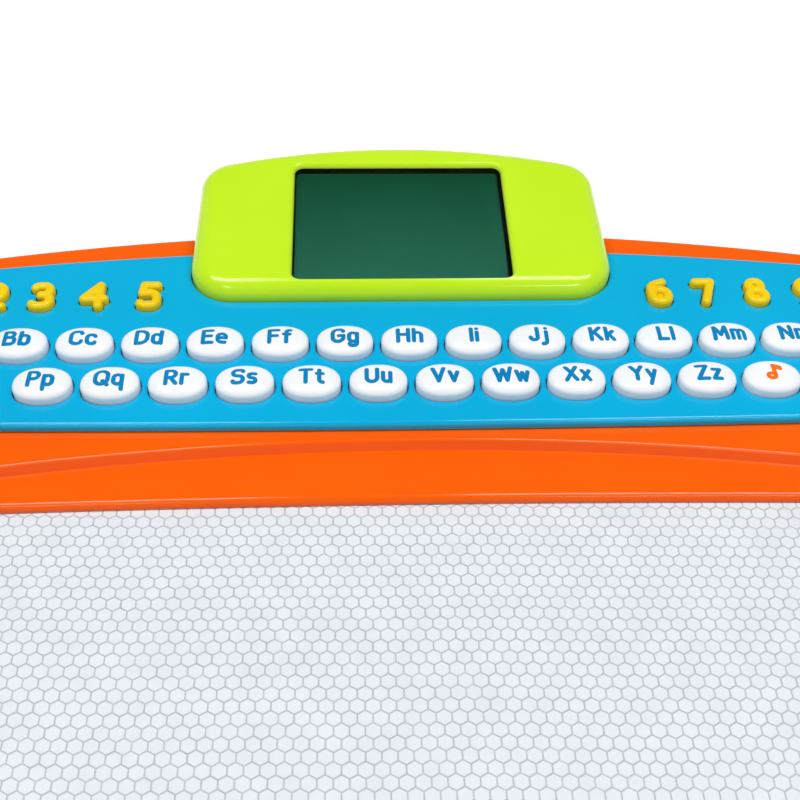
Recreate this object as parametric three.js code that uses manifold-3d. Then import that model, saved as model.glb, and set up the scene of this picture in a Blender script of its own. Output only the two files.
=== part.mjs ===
// An electronic learning board: letter and number keys and a small screen above a magnetic drawing board.
// Millimetres. X runs to the right, Y to the back, Z up. The origin is under the middle of the box around
// the object, on the surface that it stands on.
import * as THREE from "three";
import { mergeVertices } from "three/addons/utils/BufferGeometryUtils.js";
import Module from "manifold-3d";

const wasm = await Module();
wasm.setup();

// ---------------------------------------------------------------- driving dimensions

const GAP = 0.3; // between pieces that touch
const WALL = 2.4; // moulded wall
const SAGITTA = 0.2; // how far a facet may leave its arc
const CLEARANCE = 0.35; // round a key in its opening

// Levels, from the table up.
const FLOOR_BOTTOM = 2;
const PARTING = 13;
const DRAWING_TOP = 20;
const BAND_TOP = 22.6;
const DECK_TOP = 25.4;
const PANEL_TOP = 28.4;
const KEY_RIM = 31;

// The case in plan: two arcs, joined by straight sides and round corners.
const BODY = {
  halfWidth: 166,
  rear: { apex: 135.8, radius: 715, corner: 30 },
  front: { apex: -166, radius: 1500, corner: 38 },
};
const PANEL = {
  halfWidth: 150,
  rear: { apex: 123, radius: 985, corner: 12 },
  front: { apex: 46.9, radius: 7500, corner: 9 },
};
const WINDOW = {
  halfWidth: 138,
  rear: { apex: 24.7, radius: 5000, corner: 8 },
  front: { apex: -141, radius: 5000, corner: 8 },
};
const STEP_APEX = 42.4; // the deck ends in a wide arched step
const STEP_RADIUS = 800;
const CABLE_HOLE = { x0: -16, x1: 14, y0: 124, y1: 129 }; // from the deck up into the screen housing
const TONGUE = { thickness: 1.3, root: 3, rise: 2 }; // the base's rim, which centres the upper case

// The screen housing stands on the deck and reaches past the back of the case.
const POD = {
  x: -1,
  front: 98,
  frontHalfWidth: 65.6,
  frontCorner: 13.4,
  rearHalfWidth: 65,
  rearCorner: 11.5,
  rearApex: 166,
  rearRadius: 210,
};
const POD_TILT = THREE.MathUtils.degToRad(4.2);
const POD_TOP_FRONT = 34.1; // height of the sloping top above the front edge
const POD_SKIN = 1.7;
const LCD = { halfWidth: 34.2, front: 102.3, rear: 154.6, corner: 3 };
const LENS = { width: 74, depth: 56, thickness: 1.2 };
const GLASS = { width: 71, depth: 54, thickness: 2 };
const COVER_THICKNESS = 2;

// Letter keys: fifteen in the back row, twelve in the front row, half a key out of step.
const KEY_PITCH = 19;
const KEY = { halfWidth: 8.3, halfDepth: 6.2, flange: 1, shoulder: 1.1, dome: 1.6, sides: 12 };
const KEY_ROWS = [
  { y: 78, names: ["a", "b", "c", "d", "e", "f", "g", "h", "i", "j", "k", "l", "m", "n", "o"] },
  { y: 61.6, names: ["p", "q", "r", "s", "t", "u", "v", "w", "x", "y", "z", "music"] },
];
const FLANGE_TOP = PANEL_TOP - 3; // keys are held under the panel by a flange
const FLANGE_BOTTOM = FLANGE_TOP - 1.1;

// Number keys: five on each side of the screen housing.
const DIGIT = {
  y: 99.5,
  firstX: 78.6,
  pitch: 15.5,
  stretch: 1.1,
  halfStroke: 1.45,
  top: 30.9,
  fillTop: 29.4,
};
const DIGIT_SHIFT = { 3: -1.2, 4: -0.9, 7: -1.2, 8: -0.6 }; // off the even pitch
const DIGIT_FLANGE = { halfWidth: 4.9, halfDepth: 6, corner: 3 };
const DIGIT_ORDER = ["1", "2", "3", "4", "5", "6", "7", "8", "9", "0"];

const BOARD = { halfWidth: 144, front: 53, rear: 106, bottom: 18.8, thickness: 1.6 };
const MAT = { halfWidth: 142, front: 54, rear: 105, bottom: 20.7, thickness: 1, domeTop: 22.6, domeRadius: 3 };

const SWITCH = {
  x: 128.5,
  y: 61.6,
  travel: 5,
  knob: 4.4,
  clearance: 0.4,
  top: 30.4,
  flangeWidth: 14,
  flangeDepth: 8,
};

const FILM = { thickness: 2.6, lap: 2.2 }; // lap is how far it reaches under the frame

const ERASER = { restX: -120, y: -150.5, barWidth: 8, barBottom: 11.5, barTop: 17, rearInset: 2 };
const NECK = { halfWidth: 4, halfDepth: 1.9, rise: 2 }; // joins the bar to its knob through the slot
const ERASER_SLOT = { halfLength: 127, width: 5 };
const KNOB = { width: 24, depth: 13, corner: 5, bottom: BAND_TOP + 0.6, top: 29, grip: 2 };

const STYLUS = { x: 151.5, front: -112, rear: 4, radius: 4.8, z: 22 };
const STYLUS_LENGTH = STYLUS.rear - STYLUS.front;
const TROUGH = { clearance: 0.7, halfBlock: 7.4, bottom: 14.6 };

const BAY = { halfWidth: 28.5, front: 62, rear: 107, wall: 1.5, top: 17.6 };
const DOOR = { halfWidth: 32, front: 51, rear: 111, thickness: 1.8, sink: 0.1, recess: 2.1, rim: 4.6 };
const CELL = { radius: 7.1, length: 49, nub: 1.3, pitch: 14.6, z: 11.5 };
const DOOR_SCREW = { y: 56.5, headRadius: 2.6, headHeight: 0.7, shankRadius: 1.2, length: 8 };
const DOOR_POST = { radius: 3.4, top: 13, holeTop: 11.5 };

const SPEAKER = { x: -105, y: 80, radius: 20, bottom: 4.8, top: 13, magnet: 10, clearance: 1, wall: 1.2 };
const GRILLE = { rows: [-2, -1, 0, 1, 2], pitch: 5, halfSlot: 1, halfLength: 13, shorter: 2 };
const RAIL = { x: 141, halfWidth: 1, top: 17.1, frontInset: 2, rearInset: 6 }; // carries the drawing screen
const BOSS = { radius: 3.6, hole: 1.6, holeTop: 12, counterbore: 3, counterboreDepth: 1.4 };
const BOSSES = [
  { x: 153, y: 97, top: 22.8 },
  { x: 154, y: 33, top: 20 },
  { x: 146, y: -146, top: 20 },
];
const FOOT = { halfLength: 110, width: 9, height: 2.5, recess: 0.8, frontY: -138, rearY: 118 };

// ---------------------------------------------------------------- colours

const material = (color, roughness, metalness = 0) =>
  new THREE.MeshStandardMaterial({ color, roughness, metalness });

const ORANGE = material(0xfd6103, 0.3);
const BLUE = material(0x02abdb, 0.3);
const GREEN = material(0xc4ee2e, 0.3);
const KEY_WHITE = material(0xf4f5f7, 0.25);
const YELLOW = material(0xf2c80a, 0.35);
const CLEAR = material(0x30503c, 0.05);
const LCD_GREEN = material(0x1e5238, 0.15);
const BOARD_GREEN = material(0x1c6b3a, 0.5);
const RUBBER_GREY = material(0x9a9da1, 0.9);
const BLACK = material(0x1b1c1e, 0.6);
const SCREEN_WHITE = material(0xe6e9ee, 0.6);
const CELL_GOLD = material(0xb8873a, 0.35, 0.6);
const STEEL = material(0xb9bcc0, 0.3, 0.9);

// ---------------------------------------------------------------- outlines in plan

// The outline round a ring of circles, listed anticlockwise: straight where two circles stand apart,
// smooth where one touches another from inside.
function outlineRound(circles) {
  const normals = circles.map((circle, i) => {
    const next = circles[(i + 1) % circles.length];
    const dx = next.x - circle.x;
    const dy = next.y - circle.y;
    const cosine = (circle.r - next.r) / Math.hypot(dx, dy);
    return Math.atan2(dy, dx) - Math.acos(THREE.MathUtils.clamp(cosine, -1, 1));
  });
  const points = [];
  circles.forEach((circle, i) => {
    const start = normals[(i + circles.length - 1) % circles.length];
    const sweep = THREE.MathUtils.euclideanModulo(normals[i] - start, 2 * Math.PI);
    const step = 2 * Math.acos(1 - Math.min(SAGITTA / circle.r, 1));
    const count = Math.max(1, Math.ceil(sweep / step));
    for (let k = 0; k <= count; k++) {
      const angle = start + (sweep * k) / count;
      points.push(new THREE.Vector2(
        circle.x + circle.r * Math.cos(angle),
        circle.y + circle.r * Math.sin(angle),
      ));
    }
  });
  return points.filter((p, i) => p.distanceTo(points[(i + 1) % points.length]) > 0.02);
}

// Where a corner circle touches both the straight side and the end arc, on the right-hand side.
function cornerCircle(halfWidth, end, direction) {
  const x = halfWidth - end.corner;
  const rise = Math.sqrt((end.radius - end.corner) ** 2 - x ** 2) - end.radius;
  return { x, y: end.apex + direction * rise, r: end.corner };
}

// Plan outline of a shape with two arched ends, moved inwards by inset.
function archedOutline({ halfWidth, rear, front }, inset = 0) {
  const rearRight = cornerCircle(halfWidth, rear, 1);
  const frontRight = cornerCircle(halfWidth, front, -1);
  const circles = [
    frontRight,
    rearRight,
    { x: 0, y: rear.apex - rear.radius, r: rear.radius },
    { ...rearRight, x: -rearRight.x },
    { ...frontRight, x: -frontRight.x },
    { x: 0, y: front.apex + front.radius, r: front.radius },
  ];
  return outlineRound(circles.map((c) => ({ ...c, r: c.r - inset })));
}

function podOutline(inset = 0) {
  const rearEnd = { apex: POD.rearApex, radius: POD.rearRadius, corner: POD.rearCorner };
  const rear = cornerCircle(POD.rearHalfWidth, rearEnd, 1);
  const front = {
    x: POD.frontHalfWidth - POD.frontCorner,
    y: POD.front + POD.frontCorner,
    r: POD.frontCorner,
  };
  const circles = [
    front,
    rear,
    { x: 0, y: POD.rearApex - POD.rearRadius, r: POD.rearRadius },
    { ...rear, x: -rear.x },
    { ...front, x: -front.x },
  ];
  return outlineRound(circles.map((c) => ({ x: c.x + POD.x, y: c.y, r: c.r - inset })));
}

function roundedBox(x0, x1, y0, y1, r) {
  return outlineRound([
    { x: x1 - r, y: y0 + r, r },
    { x: x1 - r, y: y1 - r, r },
    { x: x0 + r, y: y1 - r, r },
    { x: x0 + r, y: y0 + r, r },
  ]);
}

function ellipse(x, y, halfWidth, halfDepth, sides) {
  return Array.from({ length: sides }, (_, k) => {
    const angle = (2 * Math.PI * (k + 0.5)) / sides;
    return new THREE.Vector2(x + halfWidth * Math.cos(angle), y + halfDepth * Math.sin(angle));
  });
}

// ---------------------------------------------------------------- solids

function solid(geometry) {
  const bare = geometry.clone();
  bare.deleteAttribute("normal");
  bare.deleteAttribute("uv");
  const merged = mergeVertices(bare, 1e-4);
  return new wasm.Manifold(new wasm.Mesh({
    numProp: 3,
    vertProperties: merged.attributes.position.array,
    triVerts: new Uint32Array(merged.index.array),
  }));
}

function plate(outline, bottom, top) {
  const options = { depth: top - bottom, bevelEnabled: false };
  return solid(new THREE.ExtrudeGeometry(new THREE.Shape(outline), options).translate(0, 0, bottom));
}

function box(x0, x1, y0, y1, z0, z1) {
  const geometry = new THREE.BoxGeometry(x1 - x0, y1 - y0, z1 - z0);
  return solid(geometry.translate((x0 + x1) / 2, (y0 + y1) / 2, (z0 + z1) / 2));
}

function post(x, y, radius, bottom, top, sides = 8) {
  const geometry = new THREE.CylinderGeometry(radius, radius, top - bottom, sides);
  return solid(geometry.rotateX(Math.PI / 2).translate(x, y, (bottom + top) / 2));
}

// A turned solid from its profile of [radius, height] pairs, standing on Z.
function turned(profile, sides) {
  const points = profile.map(([r, z]) => new THREE.Vector2(r, z));
  return new THREE.LatheGeometry(points, sides).rotateX(Math.PI / 2);
}

const joined = (solids) => solids.reduce((sum, next) => sum.add(next));

const part = new THREE.Group();

function addMesh(name, shape, look) {
  let geometry = shape;
  if (!shape.isBufferGeometry) {
    const { vertProperties, triVerts } = shape.getMesh();
    geometry = new THREE.BufferGeometry();
    geometry.setAttribute("position", new THREE.BufferAttribute(vertProperties, 3));
    geometry.setIndex(new THREE.BufferAttribute(triVerts, 1));
    geometry.computeVertexNormals();
  }
  const mesh = new THREE.Mesh(geometry, look);
  mesh.name = name;
  part.add(mesh);
  return mesh;
}

// ---------------------------------------------------------------- case

const mirrored = (places) => places.flatMap((p) => [p, { ...p, x: -p.x }]);

// Everything in front of the arched step.
function beforeStep(inset, bottom, top) {
  const disc = { x: 0, y: STEP_APEX - STEP_RADIUS };
  const points = [new THREE.Vector2(-2 * BODY.halfWidth, 2 * BODY.front.apex)];
  points.push(new THREE.Vector2(2 * BODY.halfWidth, 2 * BODY.front.apex));
  const reach = 0.26; // half the angle of the arc that crosses the case
  const steps = 22;
  for (let k = 0; k <= steps; k++) {
    const angle = Math.PI / 2 - reach + (2 * reach * k) / steps;
    const radius = STEP_RADIUS + inset;
    points.push(new THREE.Vector2(disc.x + radius * Math.cos(angle), disc.y + radius * Math.sin(angle)));
  }
  return plate(points, bottom, top);
}

function buildTopShell() {
  const skin = BAND_TOP - DRAWING_TOP - GAP;
  const outside = plate(archedOutline(BODY), PARTING + GAP / 2, BAND_TOP);
  const deck = plate(archedOutline(BODY), DRAWING_TOP, DECK_TOP).subtract(
    beforeStep(0, DRAWING_TOP - 1, DECK_TOP + 1),
  );
  const inside = plate(archedOutline(BODY, WALL), PARTING - 1, BAND_TOP - skin);
  const underDeck = plate(archedOutline(BODY, WALL), DRAWING_TOP, DECK_TOP - skin).subtract(
    beforeStep(WALL, DRAWING_TOP - 1, DECK_TOP + 1),
  );
  const troughRadius = STYLUS.radius + TROUGH.clearance;
  const trough = box(
    STYLUS.x - TROUGH.halfBlock, STYLUS.x + TROUGH.halfBlock,
    STYLUS.front - WALL - 1, STYLUS.rear + WALL + 1,
    TROUGH.bottom, BAND_TOP - 0.1,
  );
  const groove = solid(
    new THREE.CylinderGeometry(troughRadius, troughRadius, STYLUS.rear - STYLUS.front + 2, 16)
      .translate(STYLUS.x, (STYLUS.rear + STYLUS.front) / 2, STYLUS.z),
  );
  const keyOpening = plate(archedOutline(PANEL, 3), DRAWING_TOP, DECK_TOP + 1).subtract(
    plate(podOutline(-1), DRAWING_TOP - 1, DECK_TOP + 2),
  );
  const { x0, x1, y0, y1 } = CABLE_HOLE;
  const cableHole = box(x0, x1, y0, y1, DRAWING_TOP, DECK_TOP + 1);
  const eraserSlot = plate(
    roundedBox(
      -ERASER_SLOT.halfLength, ERASER_SLOT.halfLength,
      ERASER.y - ERASER_SLOT.width / 2, ERASER.y + ERASER_SLOT.width / 2, ERASER_SLOT.width / 2 - 0.01,
    ),
    DRAWING_TOP - 1, BAND_TOP + 1,
  );
  const window = plate(archedOutline(WINDOW), DRAWING_TOP - 1, BAND_TOP + 1);
  const shell = outside.add(deck).subtract(inside).subtract(underDeck).add(trough);
  return [groove, keyOpening, cableHole, eraserSlot, window].reduce((s, cut) => s.subtract(cut), shell);
}

function buildBaseShell() {
  const floorTop = FLOOR_BOTTOM + WALL;
  const tray = plate(archedOutline(BODY), FLOOR_BOTTOM, PARTING - GAP / 2).subtract(
    plate(archedOutline(BODY, WALL), floorTop, PARTING + 1),
  );
  const rootBottom = PARTING - TONGUE.root;
  const tongueTop = PARTING + TONGUE.rise;
  const insideTongue = plate(
    archedOutline(BODY, WALL + GAP + TONGUE.thickness), rootBottom - 1, tongueTop + 1,
  );
  const tongue = plate(archedOutline(BODY, WALL + GAP), rootBottom, tongueTop).subtract(insideTongue);
  const tongueRoot = plate(archedOutline(BODY, WALL - 0.5), rootBottom, PARTING - 1).subtract(insideTongue);
  const doorRim = box(
    -DOOR.halfWidth - WALL, DOOR.halfWidth + WALL,
    DOOR.front - WALL, DOOR.rear + WALL, FLOOR_BOTTOM, FLOOR_BOTTOM + DOOR.rim,
  );
  const bayWalls = box(
    -BAY.halfWidth - BAY.wall, BAY.halfWidth + BAY.wall,
    BAY.front - BAY.wall, BAY.rear + BAY.wall, floorTop, BAY.top,
  );
  const doorPost = post(0, DOOR_SCREW.y, DOOR_POST.radius, floorTop, DOOR_POST.top);
  const rails = [-1, 1].map((side) =>
    box(
      side * RAIL.x - RAIL.halfWidth, side * RAIL.x + RAIL.halfWidth,
      WINDOW.front.apex + RAIL.frontInset, WINDOW.rear.apex - RAIL.rearInset, floorTop - 1, RAIL.top,
    ),
  );
  const ringInside = SPEAKER.radius + SPEAKER.clearance;
  const speakerRing = post(SPEAKER.x, SPEAKER.y, ringInside + SPEAKER.wall, floorTop - 1, 9, 16).subtract(
    post(SPEAKER.x, SPEAKER.y, ringInside, 0, 20, 16),
  );
  const bosses = mirrored(BOSSES);
  let shell = joined([
    tray, tongue, tongueRoot, doorRim, bayWalls, doorPost, speakerRing, ...rails,
    ...bosses.map((b) => post(b.x, b.y, BOSS.radius, floorTop - 1, b.top)),
  ]);
  const grille = GRILLE.rows.map((row) => {
    const half = GRILLE.halfLength - GRILLE.shorter * Math.abs(row);
    const y = SPEAKER.y + GRILLE.pitch * row;
    return box(SPEAKER.x - half, SPEAKER.x + half, y - GRILLE.halfSlot, y + GRILLE.halfSlot, 0, floorTop + 0.1);
  });
  const footRecesses = [FOOT.frontY, FOOT.rearY].map((y) =>
    box(
      -FOOT.halfLength - GAP, FOOT.halfLength + GAP,
      y - FOOT.width / 2 - GAP, y + FOOT.width / 2 + GAP, 0, FLOOR_BOTTOM + FOOT.recess,
    ),
  );
  const cuts = [
    box(-BAY.halfWidth, BAY.halfWidth, BAY.front, BAY.rear, 0, BAY.top + 1),
    box(-DOOR.halfWidth, DOOR.halfWidth, DOOR.front, DOOR.rear, 0, FLOOR_BOTTOM + DOOR.recess),
    post(0, DOOR_SCREW.y, DOOR_SCREW.shankRadius + GAP, 0, DOOR_POST.holeTop),
    ...grille,
    ...footRecesses,
    ...bosses.map((b) => post(b.x, b.y, BOSS.hole, 0, BOSS.holeTop)),
    ...bosses.map((b) => post(b.x, b.y, BOSS.counterbore, 0, FLOOR_BOTTOM + BOSS.counterboreDepth)),
  ];
  for (const cut of cuts) shell = shell.subtract(cut);
  return shell;
}

addMesh("top_shell", buildTopShell(), ORANGE);
addMesh("base_shell", buildBaseShell(), ORANGE);

// ---------------------------------------------------------------- number glyphs

function arc(x, y, rx, ry, startDegrees, endDegrees, steps) {
  return Array.from({ length: steps + 1 }, (_, k) => {
    const angle = THREE.MathUtils.degToRad(startDegrees + ((endDegrees - startDegrees) * k) / steps);
    return [x + rx * Math.cos(angle), y + ry * Math.sin(angle)];
  });
}

const loop = (x, y, rx, ry) => arc(x, y, rx, ry, 0, 360, 6);

// Centre lines of the strokes. A stroke that ends where it starts is a loop, and its middle is filled.
const GLYPHS = {
  0: [loop(0, 0, 2.5, 4)],
  1: [[[-1.4, 2.8], [0.6, 4], [0.6, -4]]],
  2: [[...arc(0, 1.6, 2.4, 2.4, 160, -40, 3), [-2.5, -4], [2.6, -4]]],
  3: [arc(-0.2, 2.1, 2.2, 1.9, 140, -75, 3), arc(-0.2, -1.7, 2.5, 2.3, 75, -145, 4)],
  4: [[[1.4, 4], [-3.1, -1.3], [1.4, -1.3], [1.4, 4]], [[1.4, -1.3], [2.9, -1.3]], [[1.4, -1.3], [1.4, -4]]],
  5: [[[2.3, 4], [-1.7, 4], [-2, 0.9], ...arc(-0.2, -1.4, 2.6, 2.6, 100, -150, 4)]],
  6: [[[1.3, 4], [-1.3, 1.6], [-2.45, -0.9]], loop(0, -1.5, 2.5, 2.5)],
  7: [[[-2.4, 4], [2.5, 4], [-0.3, -4]]],
  8: [loop(0, 2.1, 1.9, 1.9), loop(0, -1.7, 2.4, 2.3)],
  9: [[[-1.3, -4], [1.3, -1.6], [2.45, 0.9]], loop(0, 1.5, 2.5, 2.5)],
};

const isLoop = (stroke) => {
  const [x, y] = stroke[stroke.length - 1];
  return Math.hypot(x - stroke[0][0], y - stroke[0][1]) < 1e-6;
};

function glyph(name, x, y, halfStroke, bottom, top) {
  const links = GLYPHS[name].flatMap((stroke) =>
    stroke.slice(1).map((end, i) => {
      const ends = [stroke[i], end].map((p) => ({ x: x + p[0], y: y + DIGIT.stretch * p[1], r: halfStroke }));
      return plate(outlineRound(ends), bottom, top);
    }),
  );
  return joined(links);
}

// The middles of a glyph's loops, which stay closed below its strokes.
function glyphFill(name, x, y, bottom, top) {
  const fills = GLYPHS[name].filter(isLoop).map((stroke) => {
    const points = stroke.slice(1).map((p) => new THREE.Vector2(x + p[0], y + DIGIT.stretch * p[1]));
    return plate(points, bottom, top);
  });
  return fills.length ? joined(fills) : null;
}

const digits = DIGIT_ORDER.map((name, i) => {
  const half = DIGIT_ORDER.length / 2;
  const side = i < half ? -1 : 1;
  const place = i < half ? half - 1 - i : i - half;
  return { name, x: side * (DIGIT.firstX + DIGIT.pitch * place) + (DIGIT_SHIFT[name] ?? 0) };
});

// ---------------------------------------------------------------- keys and panel

const letterKeys = KEY_ROWS.flatMap(({ y, names }) =>
  names.map((name, i) => ({ name, y, x: KEY_PITCH * (i - (names.length - 1) / 2) })),
);

function buildPanel() {
  const bottom = DECK_TOP + GAP;
  let panel = plate(archedOutline(PANEL), bottom, PANEL_TOP);
  const cutBottom = bottom - 1;
  const cutTop = PANEL_TOP + 1;
  const cuts = [plate(podOutline(-CLEARANCE), cutBottom, cutTop)];
  for (const { x, y } of letterKeys) {
    const opening = ellipse(x, y, KEY.halfWidth + CLEARANCE, KEY.halfDepth + CLEARANCE, KEY.sides);
    cuts.push(plate(opening, cutBottom, cutTop));
  }
  for (const { name, x } of digits) {
    cuts.push(glyph(name, x, DIGIT.y, DIGIT.halfStroke + CLEARANCE, cutBottom, cutTop));
    const fill = glyphFill(name, x, DIGIT.y, cutBottom, cutTop);
    if (fill) cuts.push(fill);
  }
  const slotHalf = SWITCH.knob / 2 + SWITCH.clearance;
  cuts.push(box(
    SWITCH.x - slotHalf, SWITCH.x + SWITCH.travel + slotHalf,
    SWITCH.y - slotHalf, SWITCH.y + slotHalf, cutBottom, cutTop,
  ));
  for (const cut of cuts) panel = panel.subtract(cut);
  return panel;
}

// An oval key with a flange under the panel and a softly domed top.
function keyGeometry() {
  const { halfWidth: r } = KEY;
  const profile = [
    [0, FLANGE_BOTTOM],
    [r + KEY.flange, FLANGE_BOTTOM],
    [r + KEY.flange, FLANGE_TOP],
    [r, FLANGE_TOP],
    [r, KEY_RIM],
    [r * 0.8, KEY_RIM + KEY.shoulder],
    [0, KEY_RIM + KEY.dome],
  ];
  const quarterFacet = Math.PI / KEY.sides;
  return turned(profile, KEY.sides).rotateZ(quarterFacet).scale(1, KEY.halfDepth / r, 1);
}

addMesh("keyboard_panel", buildPanel(), BLUE);

for (const { name, x, y } of letterKeys) {
  addMesh(`key_${name}`, keyGeometry(), KEY_WHITE).position.set(x, y, 0);
}

for (const { name, x } of digits) {
  const { halfWidth, halfDepth, corner } = DIGIT_FLANGE;
  const around = roundedBox(x - halfWidth, x + halfWidth, DIGIT.y - halfDepth, DIGIT.y + halfDepth, corner);
  const flange = plate(around, FLANGE_BOTTOM, FLANGE_TOP);
  const pieces = [flange, glyph(name, x, DIGIT.y, DIGIT.halfStroke, FLANGE_TOP - 0.5, DIGIT.top)];
  const fill = glyphFill(name, x, DIGIT.y, FLANGE_TOP - 0.5, DIGIT.fillTop);
  if (fill) pieces.push(fill);
  addMesh(`digit_${name}`, joined(pieces), YELLOW);
}

function buildSwitch() {
  const { x, y, knob, top, flangeWidth, flangeDepth } = SWITCH;
  const flange = box(
    x - flangeWidth / 2, x + flangeWidth / 2,
    y - flangeDepth / 2, y + flangeDepth / 2, FLANGE_BOTTOM, FLANGE_TOP,
  );
  return flange.add(box(x - knob / 2, x + knob / 2, y - knob / 2, y + knob / 2, FLANGE_TOP - 0.5, top));
}

addMesh("power_switch", buildSwitch(), KEY_WHITE);

// ---------------------------------------------------------------- electronics

function buildMat() {
  const top = MAT.bottom + MAT.thickness;
  const places = [...letterKeys, ...digits.map(({ x }) => ({ x, y: DIGIT.y }))];
  const domes = places.map(({ x, y }) => post(x, y, MAT.domeRadius, top - 0.5, MAT.domeTop, 6));
  return joined([box(-MAT.halfWidth, MAT.halfWidth, MAT.front, MAT.rear, MAT.bottom, top), ...domes]);
}

addMesh("key_mat", buildMat(), RUBBER_GREY);
addMesh(
  "main_board",
  box(-BOARD.halfWidth, BOARD.halfWidth, BOARD.front, BOARD.rear, BOARD.bottom, BOARD.bottom + BOARD.thickness),
  BOARD_GREEN,
);

function buildSpeaker() {
  const { radius, magnet, bottom, top } = SPEAKER;
  const profile = [
    [0, bottom + 1.4],
    [radius * 0.4, bottom + 2],
    [radius - 2, bottom],
    [radius, bottom],
    [radius, top - 6],
    [magnet, top - 4],
    [magnet, top],
    [0, top],
  ];
  return turned(profile, 16).translate(SPEAKER.x, SPEAKER.y, 0);
}

addMesh("speaker", buildSpeaker(), BLACK);

// ---------------------------------------------------------------- screen housing

// The slope of the housing's top: everything above it, lowered by drop.
function aboveSlope(drop) {
  const geometry = new THREE.BoxGeometry(400, 400, 60).translate(0, 0, 30 - drop);
  return solid(geometry.rotateX(POD_TILT).translate(0, POD.front, POD_TOP_FRONT));
}

function buildHousing() {
  const high = 60;
  const outside = plate(podOutline(), DECK_TOP + GAP, high).subtract(aboveSlope(0));
  const inside = plate(podOutline(WALL), DECK_TOP - 1, high).subtract(aboveSlope(POD_SKIN));
  const opening = roundedBox(POD.x - LCD.halfWidth, POD.x + LCD.halfWidth, LCD.front, LCD.rear, LCD.corner);
  return outside.subtract(inside).subtract(plate(opening, DECK_TOP + 3, high));
}

// A flat piece parallel to the housing's top, depth below it.
function addTilted(name, size, depth, look) {
  const mesh = addMesh(name, new THREE.BoxGeometry(size.width, size.depth, size.thickness), look);
  const along = (LCD.front + LCD.rear) / 2 - POD.front;
  const down = depth + size.thickness / 2;
  mesh.rotation.x = POD_TILT;
  mesh.position.set(
    POD.x,
    POD.front + along + down * Math.sin(POD_TILT),
    POD_TOP_FRONT + along * Math.tan(POD_TILT) - down * Math.cos(POD_TILT),
  );
}

addMesh("screen_housing", buildHousing(), GREEN);
addTilted("screen_window", LENS, POD_SKIN + GAP, CLEAR);
addTilted("lcd_glass", GLASS, POD_SKIN + LENS.thickness + 2 * GAP, LCD_GREEN);

function buildScreenCover() {
  const bottom = DECK_TOP + 2 * GAP;
  const top = bottom + COVER_THICKNESS;
  const cover = plate(podOutline(WALL + GAP), bottom, top);
  return cover.subtract(plate(archedOutline(BODY, -1), bottom - 1, top + 1));
}

addMesh("screen_rear_cover", buildScreenCover(), GREEN);

// ---------------------------------------------------------------- drawing board

const film = plate(archedOutline(WINDOW, -FILM.lap), DRAWING_TOP - FILM.thickness, DRAWING_TOP);
addMesh("drawing_screen", film, SCREEN_WHITE);

function buildEraserBar() {
  const { restX, y, barWidth, barBottom, barTop, rearInset } = ERASER;
  const rear = WINDOW.rear.apex - rearInset;
  const bar = box(restX - barWidth / 2, restX + barWidth / 2, y - 3, rear, barBottom, barTop);
  const { halfWidth, halfDepth, rise } = NECK;
  const neck = box(
    restX - halfWidth, restX + halfWidth, y - halfDepth, y + halfDepth, barTop - 1, KNOB.bottom + rise,
  );
  return bar.add(neck);
}

function buildEraserKnob() {
  const { restX, y } = ERASER;
  const { width, depth, corner, bottom, top, grip } = KNOB;
  const outline = (inset) => roundedBox(
    restX - width / 2 + inset, restX + width / 2 - inset,
    y - depth / 2 + inset, y + depth / 2 - inset, corner - inset / 2,
  );
  const socketWidth = NECK.halfWidth + GAP;
  const socketDepth = NECK.halfDepth + GAP;
  const socket = box(
    restX - socketWidth, restX + socketWidth,
    y - socketDepth, y + socketDepth, bottom - 1, bottom + NECK.rise + GAP,
  );
  return plate(outline(0), bottom, top - grip).add(plate(outline(grip), bottom, top)).subtract(socket);
}

addMesh("eraser_bar", buildEraserBar(), BLACK);
addMesh("eraser_knob", buildEraserKnob(), BLUE);

// A turned piece lying along Y, its profile given as [radius, distance behind the stylus's front end].
function alongStylus(profile) {
  return turned(profile, 12).rotateX(-Math.PI / 2).translate(STYLUS.x, STYLUS.front, STYLUS.z);
}

addMesh("stylus_body", alongStylus([
  [0, 9.3],
  [3.4, 9.3],
  [4.2, 16],
  [STYLUS.radius, 40],
  [STYLUS.radius, STYLUS_LENGTH - 4],
  [2.6, STYLUS_LENGTH],
  [0, STYLUS_LENGTH],
]), GREEN);
addMesh("stylus_tip", alongStylus([
  [0, 1],
  [2, 1],
  [2.6, 2],
  [2.6, 9],
  [0, 9],
]), BLACK);

// ---------------------------------------------------------------- power and underside

function buildDoor() {
  const bottom = FLOOR_BOTTOM + DOOR.sink;
  const door = plate(
    roundedBox(-DOOR.halfWidth + GAP, DOOR.halfWidth - GAP, DOOR.front + GAP, DOOR.rear - GAP, 0.8),
    bottom, bottom + DOOR.thickness,
  );
  return door
    .subtract(post(0, DOOR_SCREW.y, DOOR_SCREW.shankRadius + GAP, 0, 10))
    .subtract(post(0, DOOR_SCREW.y, DOOR_SCREW.headRadius + GAP, 0, bottom + 1));
}

function buildDoorScrew() {
  const bottom = FLOOR_BOTTOM + DOOR.sink;
  const { y, headRadius, headHeight, shankRadius, length } = DOOR_SCREW;
  return post(0, y, headRadius, bottom, bottom + headHeight)
    .add(post(0, y, shankRadius, bottom + headHeight / 2, bottom + length));
}

addMesh("battery_door", buildDoor(), ORANGE);
addMesh("battery_door_screw", buildDoorScrew(), STEEL);

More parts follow.
